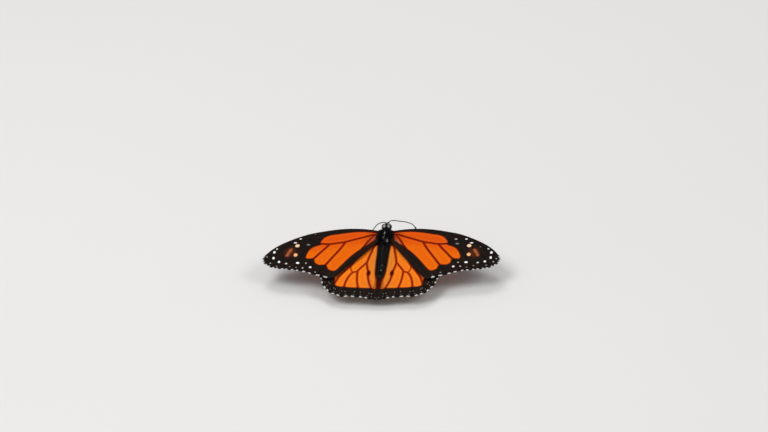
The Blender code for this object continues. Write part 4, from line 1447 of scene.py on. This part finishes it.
def forewing_hair(rng):
    """(places, way they lie) of the hair by the forewing's root."""
    out = rng.random(FOREWING_HAIRS) ** 1.8
    y = rng.uniform(-2.6, 1.6, FOREWING_HAIRS) - 1.4 * out
    return columns(2.2 + 1.5 * out, y), (0.75, -0.65)


def hindwing_hair(rng):
    """(places, way they lie) of the hair along the hindwing's inner margin."""
    y = -5.0 - 17.0 * rng.random(HINDWING_HAIRS) ** 1.4
    margin = np.interp(-y, (5, 16, 22), (2.3, 2.25, 1.8))
    return columns(margin + rng.uniform(-0.5, 0.3, HINDWING_HAIRS), y), (-0.12, -1.0)


def wing_hair_mesh(name, kind, side, rng):
    """Long soft hair lying on a wing near its root."""
    places, (lie_x, lie_y) = kind["hair"](rng)
    count = len(places)
    roots = on_wing(kind, places, side, 0.08)
    directions = columns(side * lie_x, lie_y, rng.uniform(0.12, 0.5, count))
    directions[:, :2] += rng.normal(0, 0.15, (count, 2))
    lengths = settings("body").wing_root_hair / MM * kind["hair_share"] * rng.uniform(0.5, 1.1, count)
    bends = columns(0, 0, -0.3 * rng.random(count))
    values = tuft_values(np.zeros(count), rng.uniform(0.3, 1.0, count), rng)
    widths = rng.uniform(0.04, 0.07, count)
    return tufts(name, roots, directions, level_across(directions), lengths, widths, bends,
                 patch_starts(places, 0), values)


WINGS = {
    "forewing": {"plan": FOREWING, "height": forewing_height, "markings": forewing_markings,
                 "hair": forewing_hair, "hair_share": 0.7},
    "hindwing": {"plan": HINDWING, "height": hindwing_height, "markings": hindwing_markings,
                 "hair": hindwing_hair, "hair_share": 0.6},
}


def add_sheets(kind, material):
    """Both wings of a kind."""
    for name, side in SIDES.items():
        mesh = wing_mesh(f"{kind}_sheet_{name}", WINGS[kind], side)
        add_piece(mesh, material, [f"{kind}_{name}"])


class OBJECT_OT_butterfly_forewings(bpy.types.Operator):
    """Both forewings with their veins and markings"""
    bl_idname = "object.butterfly_forewings"
    bl_label = "Forewings"

    def execute(self, context):
        wing = settings("wing")
        scales = WingFinish("forewing_scales")
        add_sheets("forewing", scales.finish(wing.fore_orange, wing.fore_red, wing.fore_vein,
                                             wing.fore_root_highlight, 0.12))
        return {"FINISHED"}


class OBJECT_OT_butterfly_hindwings(bpy.types.Operator):
    """Both hindwings with their veins and markings"""
    bl_idname = "object.butterfly_hindwings"
    bl_label = "Hindwings"

    def execute(self, context):
        wing = settings("wing")
        scales = WingFinish("hindwing_scales")
        add_sheets("hindwing", scales.finish(wing.hind_inner, wing.hind_orange, wing.hind_vein,
                                             wing.hind_blush, 0.3))
        return {"FINISHED"}


class OBJECT_OT_butterfly_fringes(bpy.types.Operator):
    """Edge scales and root hair of all four wings"""
    bl_idname = "object.butterfly_fringes"
    bl_label = "Fringes"

    def execute(self, context):
        material = bpy.data.materials["coat"]
        rng = np.random.default_rng(23)
        for title, kind in WINGS.items():
            for name, side in SIDES.items():
                for mesh in (fringe_mesh(f"{title}_fringe_{name}", kind, side, rng),
                             wing_hair_mesh(f"{title}_hair_{name}", kind, side, rng)):
                    add_piece(mesh, material, [f"{title}_{name}"])
        return {"FINISHED"}


# Eyes, feelers and tongue

class OBJECT_OT_butterfly_eyes(bpy.types.Operator):
    """The two compound eyes"""
    bl_idname = "object.butterfly_eyes"
    bl_label = "Eyes"

    def execute(self, context):
        material = eye_finish()
        for name, side in SIDES.items():
            eye = add_ball(on_side(EYE_CENTRE, side), EYE_HALF, segments=96, rings=64)
            eye.name = "compound_eye_" + name
            eye.data.transform(TO_FLOOR)
            declare(eye, material, ["eye_" + name])
        return {"FINISHED"}


def finish_limb(limb, name, node, matrix=TO_FLOOR, mark=0.0):
    limb.name = name
    limb.data.transform(matrix)
    add_values(limb.data, mark=np.broadcast_to(mark, len(limb.data.vertices)))
    material = bpy.data.materials.get("limb_shell") or shell_finish()
    declare(limb, material, [node])


def ringed(share, rings, depth, sharpness):
    """Factor for the radii of a stalk that is drawn in between its rings."""
    return 1 - depth * np.abs(np.sin(np.pi * share * rings)) ** sharpness


def antenna_radii(share):
    """A thin ringed stalk with a thick foot, a club and a rounded tip."""
    limb = settings("limb")
    club = np.clip((share - 0.8) / 0.2, 0, 1)
    swell = np.sin(np.pi * club * 0.66) ** 1.2
    radii = limb.feeler_radius / MM + (limb.club_radius - limb.feeler_radius) / MM * swell
    radii = radii * ringed(share, 46, 0.13, 6) + 0.14 * np.exp(-(share / 0.02) ** 2)
    radii[-6:] *= (0.97, 0.92, 0.84, 0.72, 0.55, 0.3)
    return radii


def tongue_tube():
    """The rolled tongue and its lead up to the mouth."""
    inner, outer = COIL_RADII
    share = np.linspace(0, 1, 200)
    angle = math.pi / 2 + 2 * math.pi * COIL_TURNS * (1 - share)
    reach = inner + (outer - inner) * share
    coil = np.array(COIL_CENTRE) + columns(0, np.cos(angle) * reach, np.sin(angle) * reach)
    lead = spline([coil[-1], *COIL_LEAD], 12)[1:]
    radii = (0.13 + 0.08 * share) * ringed(share, 50, 0.08, 4)
    return add_tube(np.vstack([coil, lead]), np.concatenate([radii, np.full(len(lead), 0.2)]))


class OBJECT_OT_butterfly_feelers(bpy.types.Operator):
    """Antennae with rings and a club, and the rolled tongue"""
    bl_idname = "object.butterfly_feelers"
    bl_label = "Feelers and tongue"

    def execute(self, context):
        share = np.linspace(0, 1, 330)
        for name in SIDES:
            antenna = add_tube(spline(ANTENNA_ROUTES[name], len(share)), antenna_radii(share))
            finish_limb(antenna, "feeler_" + name, "antenna_" + name)
        finish_limb(tongue_tube(), "rolled_tongue", "proboscis")
        return {"FINISHED"}


# Legs

# Radii of limb parts at start, middle and end
HIP_RADII, SHIN_RADII, HEEL_RADII = (0.5, 0.46, 0.34), (0.25, 0.2, 0.22), (0.19, 0.19, 0.19)
TOE_RADII = (0.17, 0.185, 0.19)
# Where the foot's five parts start and end, as shares of its length
TOE_STOPS = (0, 0.34, 0.55, 0.72, 0.86, 1)
FORELEG_RADII = [(0.3, 0.32, 0.26), (0.24, 0.27, 0.2), (0.2, 0.2, 0.17), (0.17, 0.16, 0.1)]
# The claws, which come after the ninth part, are bare. Spines grow from the shin on, the third part.
HAIRY_PARTS = 9
SPINY_FROM = 2
# Lying scales of the legs: number for each millimetre, then ranges of tilt (degrees), length and width
LEG_SCALES = (34, (6, 22), (0.16, 0.3), (0.05, 0.08))
# Lowest that a walking leg's hair may reach
HAIR_OVER_FLOOR = 0.03


def trunk_surface(y, angle_deg, side):
    """(point, outward) on the trunk's skin at y, angle_deg round from straight down towards that side."""
    height, radius = (float(size) for size in body_section(np.array([y]))[:, 0])
    angle = math.radians(angle_deg)
    outward = Vector((side * math.sin(angle), 0, -math.cos(angle)))
    return Vector((0, y, height)) + radius * outward, outward


def limb_part(start, end, radii, steps=9):
    """Points and radii of one straight limb part with rounded ends."""
    shares = np.concatenate([[0, 0.015, 0.05], np.linspace(0.12, 0.88, steps - 6), [0.95, 0.985, 1]])
    widths = np.interp(shares, [0, 0.45, 1], radii)
    widths[[0, 1, -2, -1]] *= (0.45, 0.8, 0.8, 0.45)
    return [start.lerp(end, share) for share in shares], widths


def claw(toe, along, side):
    """A small hook that curves down to the floor."""
    across = Vector((along.y, -along.x, 0)) * 0.12 * side
    points = [toe, toe + along * 0.2 + across + Vector((0, 0, 0.07)), toe + along * 0.42 + across * 1.6,
              toe + along * 0.5 + across * 1.8 - Vector((0, 0, toe.z - 0.06))]
    return spline(points, 9), np.linspace(0.07, 0.02, 9)


def walking_parts(plan, side):
    """Limb parts of a walking leg, from the hip to the claws, on the floor's axes."""
    thigh = settings("limb").femur_radius / MM
    root, outward = trunk_surface(*plan["root"], side)
    turn = Matrix.Rotation(PITCH, 4, "X")
    raise_up = Vector((0, 0, ROOT_HEIGHT))
    start = turn @ (root - outward * 0.3) + raise_up
    hip = turn @ (root + outward * 1.4) + raise_up
    knee, ankle = on_side(plan["knee"], side), on_side(plan["ankle"], side)
    toe = on_side((*plan["toe"], FOOT_LEVEL), side)
    heel = ankle.lerp(toe, 0.25)
    heel.z = FOOT_LEVEL
    toes = [limb_part(heel.lerp(toe, a), heel.lerp(toe, b), TOE_RADII)
            for a, b in zip(TOE_STOPS, TOE_STOPS[1:])]
    along = (toe - heel).normalized()
    return [limb_part(start, hip, HIP_RADII), limb_part(hip, knee, (0.34, thigh, 0.24), 14),
            limb_part(knee, ankle, SHIN_RADII, 14), limb_part(ankle, heel, HEEL_RADII),
            *toes, claw(toe, along, 1), claw(toe, along, -1)]


def folded_parts(side):
    """Limb parts of a small folded foreleg, in the body's frame."""
    root, outward = trunk_surface(*FORELEG_ROOT, side)
    joints = [root - outward * 0.2, *(on_side(point, side) for point in FORELEG_ROUTE)]
    return [limb_part(a, b, radii) for a, b, radii in zip(joints, joints[1:], FORELEG_RADII)]


def thigh_dots(points, thigh):
    """Share of white at points of a leg: two dots on its thigh."""
    first, last = np.array(thigh[0]), np.array(thigh[-1])
    dots = np.zeros(len(points))
    for share in (0.12, 0.3):
        centre = first + share * (last - first) + np.array([0, 0, 0.3])
        dots = np.maximum(dots, ramp(0.34 - np.linalg.norm(points - centre, axis=1), -0.1, 0.1))
    return dots


def leg_hair(name, parts, matrix, lowest, rng):
    """Lying scales on all limb parts and spines on shin and foot, but none with its tip under lowest."""
    spine = settings("limb").spine / MM
    spines = (5, (35, 60), (0.8 * spine, 1.2 * spine), (0.035, 0.05))
    grown = []
    for number, (points, radii) in enumerate(parts):
        start, end = np.array(points[0]), np.array(points[-1])
        run = np.linalg.norm(end - start)
        axis = (end - start) / run
        side = np.cross(axis, (0.3, 0.2, 1.0))
        side /= np.linalg.norm(side)
        other = np.cross(axis, side)
        for density, tilts, sizes, widths in [LEG_SCALES, spines] if number >= SPINY_FROM else [LEG_SCALES]:
            count = int(run * density)
            share = rng.uniform(0.03, 0.97, count)
            turn = rng.uniform(0, 2 * np.pi, count)[:, None]
            out = np.cos(turn) * side + np.sin(turn) * other
            radius = np.interp(share, np.linspace(0, 1, len(radii)), radii)
            tilt = np.radians(rng.uniform(*tilts, count))[:, None]
            grown.append((start + share[:, None] * run * axis + out * radius[:, None],
                          axis * np.cos(tilt) + out * np.sin(tilt), rng.uniform(*sizes, count),
                          rng.uniform(*widths, count), (number + share) / len(parts)))
    grown = [np.concatenate(column) for column in zip(*grown)]
    tips = grown[0] + grown[1] * grown[2][:, None]
    roots, directions, lengths, widths, along_leg = (column[tips[:, 2] > lowest] for column in grown)
    count = len(roots)
    to_body = TO_FLOOR.inverted() @ matrix
    directions = directions @ np.array(to_body)[:3, :3].T
    values = tuft_values(np.zeros(count), rng.uniform(0, 0.3, count), rng)
    patches = MAP_SHARE * columns(along_leg, rng.random(count))
    sideways = np.cross(directions, (0.1, 0.2, 1.0))
    return tufts(name, shifted(roots, to_body), directions, sideways, lengths, widths, STRAIGHT, patches,
                 values)


class OBJECT_OT_butterfly_legs(bpy.types.Operator):
    """Four walking legs and the two small folded forelegs"""
    bl_idname = "object.butterfly_legs"
    bl_label = "Legs"

    def execute(self, context):
        rng = np.random.default_rng(37)
        for name, side in SIDES.items():
            for kind, plan in WALKING_LEGS.items():
                self.build(f"{kind}_{name}", walking_parts(plan, side), FLOOR_ONLY, HAIR_OVER_FLOOR, rng)
            self.build("foreleg_" + name, folded_parts(side), TO_FLOOR, -FAR, rng)
        return {"FINISHED"}

    def build(self, node, parts, matrix, lowest, rng):
        leg = join([add_tube(points, radii, 3) for points, radii in parts], "limb_" + node)
        finish_limb(leg, leg.name, node, matrix, thigh_dots(points_of(leg.data), parts[1][0]))
        hair = leg_hair("limb_hair_" + node, parts[:HAIRY_PARTS], matrix, lowest, rng)
        add_piece(hair, bpy.data.materials["coat"], [node])


# Stage

# Area lights: place, side, and the property with its power
LIGHTS = {
    "key": ((-0.45, -0.35, 0.95), 0.55, "key_power"),
    "fill": ((0.85, -0.3, 0.9), 0.5, "fill_power"),
    "rear": ((-0.15, 0.5, 1.0), 0.45, "rear_power"),
}
LIGHT_AIM = Vector((0, 0, 0.01))
SKY_TONE = (0.97, 0.98, 1.0, 1)
# The camera's right and backward directions, and how far right of the wing roots and over them it aims
CAMERA_RIGHT, CAMERA_BACK = Vector((0.9913, 0.1101, -0.0724)), Vector((0.1318, -0.8286, 0.5443))
AIM_RIGHT, AIM_UP = -0.00054, 0.00834


class OBJECT_OT_butterfly_stage(bpy.types.Operator):
    """Pale floor, soft lights and the camera"""
    bl_idname = "object.butterfly_stage"
    bl_label = "Stage"

    def execute(self, context):
        stage = settings("stage")
        deselect()
        bpy.ops.mesh.primitive_plane_add(size=stage.floor_size, location=(0, 0, 0))
        floor = context.object
        floor.name = "floor"
        floor.data.materials.append(floor_finish())
        for name, (place, size, power_name) in LIGHTS.items():
            self.add_light(name, place, size, getattr(stage, power_name))
        self.add_sky(context.scene, stage.sky)
        self.add_camera(context.scene, stage)
        return {"FINISHED"}

    def add_light(self, name, place, size, strength):
        bpy.ops.object.light_add(type="AREA", location=place)
        light = bpy.context.object
        light.name = name
        light.data.size = size
        light.data.energy = strength
        light.rotation_euler = (LIGHT_AIM - Vector(place)).to_track_quat("-Z", "Y").to_euler()

    def add_sky(self, scene, strength):
        scene.world = bpy.data.worlds.new("studio")
        scene.world.use_nodes = True
        background = scene.world.node_tree.nodes["Background"]
        background.inputs["Color"].default_value = SKY_TONE
        background.inputs["Strength"].default_value = strength
        scene.view_settings.view_transform = "Standard"

    def add_camera(self, scene, stage):
        back = CAMERA_BACK.normalized()
        right = (CAMERA_RIGHT - CAMERA_RIGHT.dot(back) * back).normalized()
        up = back.cross(right)
        aim = TO_FLOOR.translation + right * AIM_RIGHT + up * AIM_UP
        data = bpy.data.cameras.new("camera")
        data.lens = stage.lens
        data.sensor_width = 36
        data.clip_start, data.clip_end = 0.05, 50
        camera = bpy.data.objects.new("camera", data)
        scene.collection.objects.link(camera)
        turn = Matrix((right, up, back)).transposed().to_4x4()
        camera.matrix_world = Matrix.Translation(aim + back * stage.distance) @ turn
        scene.camera = camera


# Panel and registration

class VIEW3D_PT_butterfly(bpy.types.Panel):
    bl_label = "Monarch butterfly"
    bl_idname = "VIEW3D_PT_butterfly"
    bl_space_type = "VIEW_3D"
    bl_region_type = "UI"
    bl_category = "Butterfly"

    def draw(self, context):
        for operator in OPERATORS:
            self.layout.operator(operator.bl_idname)
        for kind, group in GROUPS.items():
            box = self.layout.box()
            for name in group.__annotations__:
                box.prop(settings(kind), name)


GROUPS = {"wing": WingSettings, "body": BodySettings, "limb": LimbSettings, "stage": StageSettings}
OPERATORS = (OBJECT_OT_butterfly_skin, OBJECT_OT_butterfly_coat, OBJECT_OT_butterfly_forewings,
             OBJECT_OT_butterfly_hindwings, OBJECT_OT_butterfly_fringes, OBJECT_OT_butterfly_eyes,
             OBJECT_OT_butterfly_feelers, OBJECT_OT_butterfly_legs, OBJECT_OT_butterfly_stage)
CLASSES = (*GROUPS.values(), *OPERATORS, VIEW3D_PT_butterfly)


def register():
    for cls in CLASSES:
        bpy.utils.register_class(cls)
    for kind, group in GROUPS.items():
        setattr(bpy.types.Scene, "butterfly_" + kind, PointerProperty(type=group))


def unregister():
    for kind in GROUPS:
        delattr(bpy.types.Scene, "butterfly_" + kind)
    for cls in reversed(CLASSES):
        bpy.utils.unregister_class(cls)


def main():
    register()
    bpy.ops.object.butterfly_skin()
    bpy.ops.object.butterfly_coat()
    bpy.ops.object.butterfly_forewings()
    bpy.ops.object.butterfly_hindwings()
    bpy.ops.object.butterfly_fringes()
    bpy.ops.object.butterfly_eyes()
    bpy.ops.object.butterfly_feelers()
    bpy.ops.object.butterfly_legs()
    bpy.ops.object.butterfly_stage()
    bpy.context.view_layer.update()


if __name__ == "__main__":
    main()
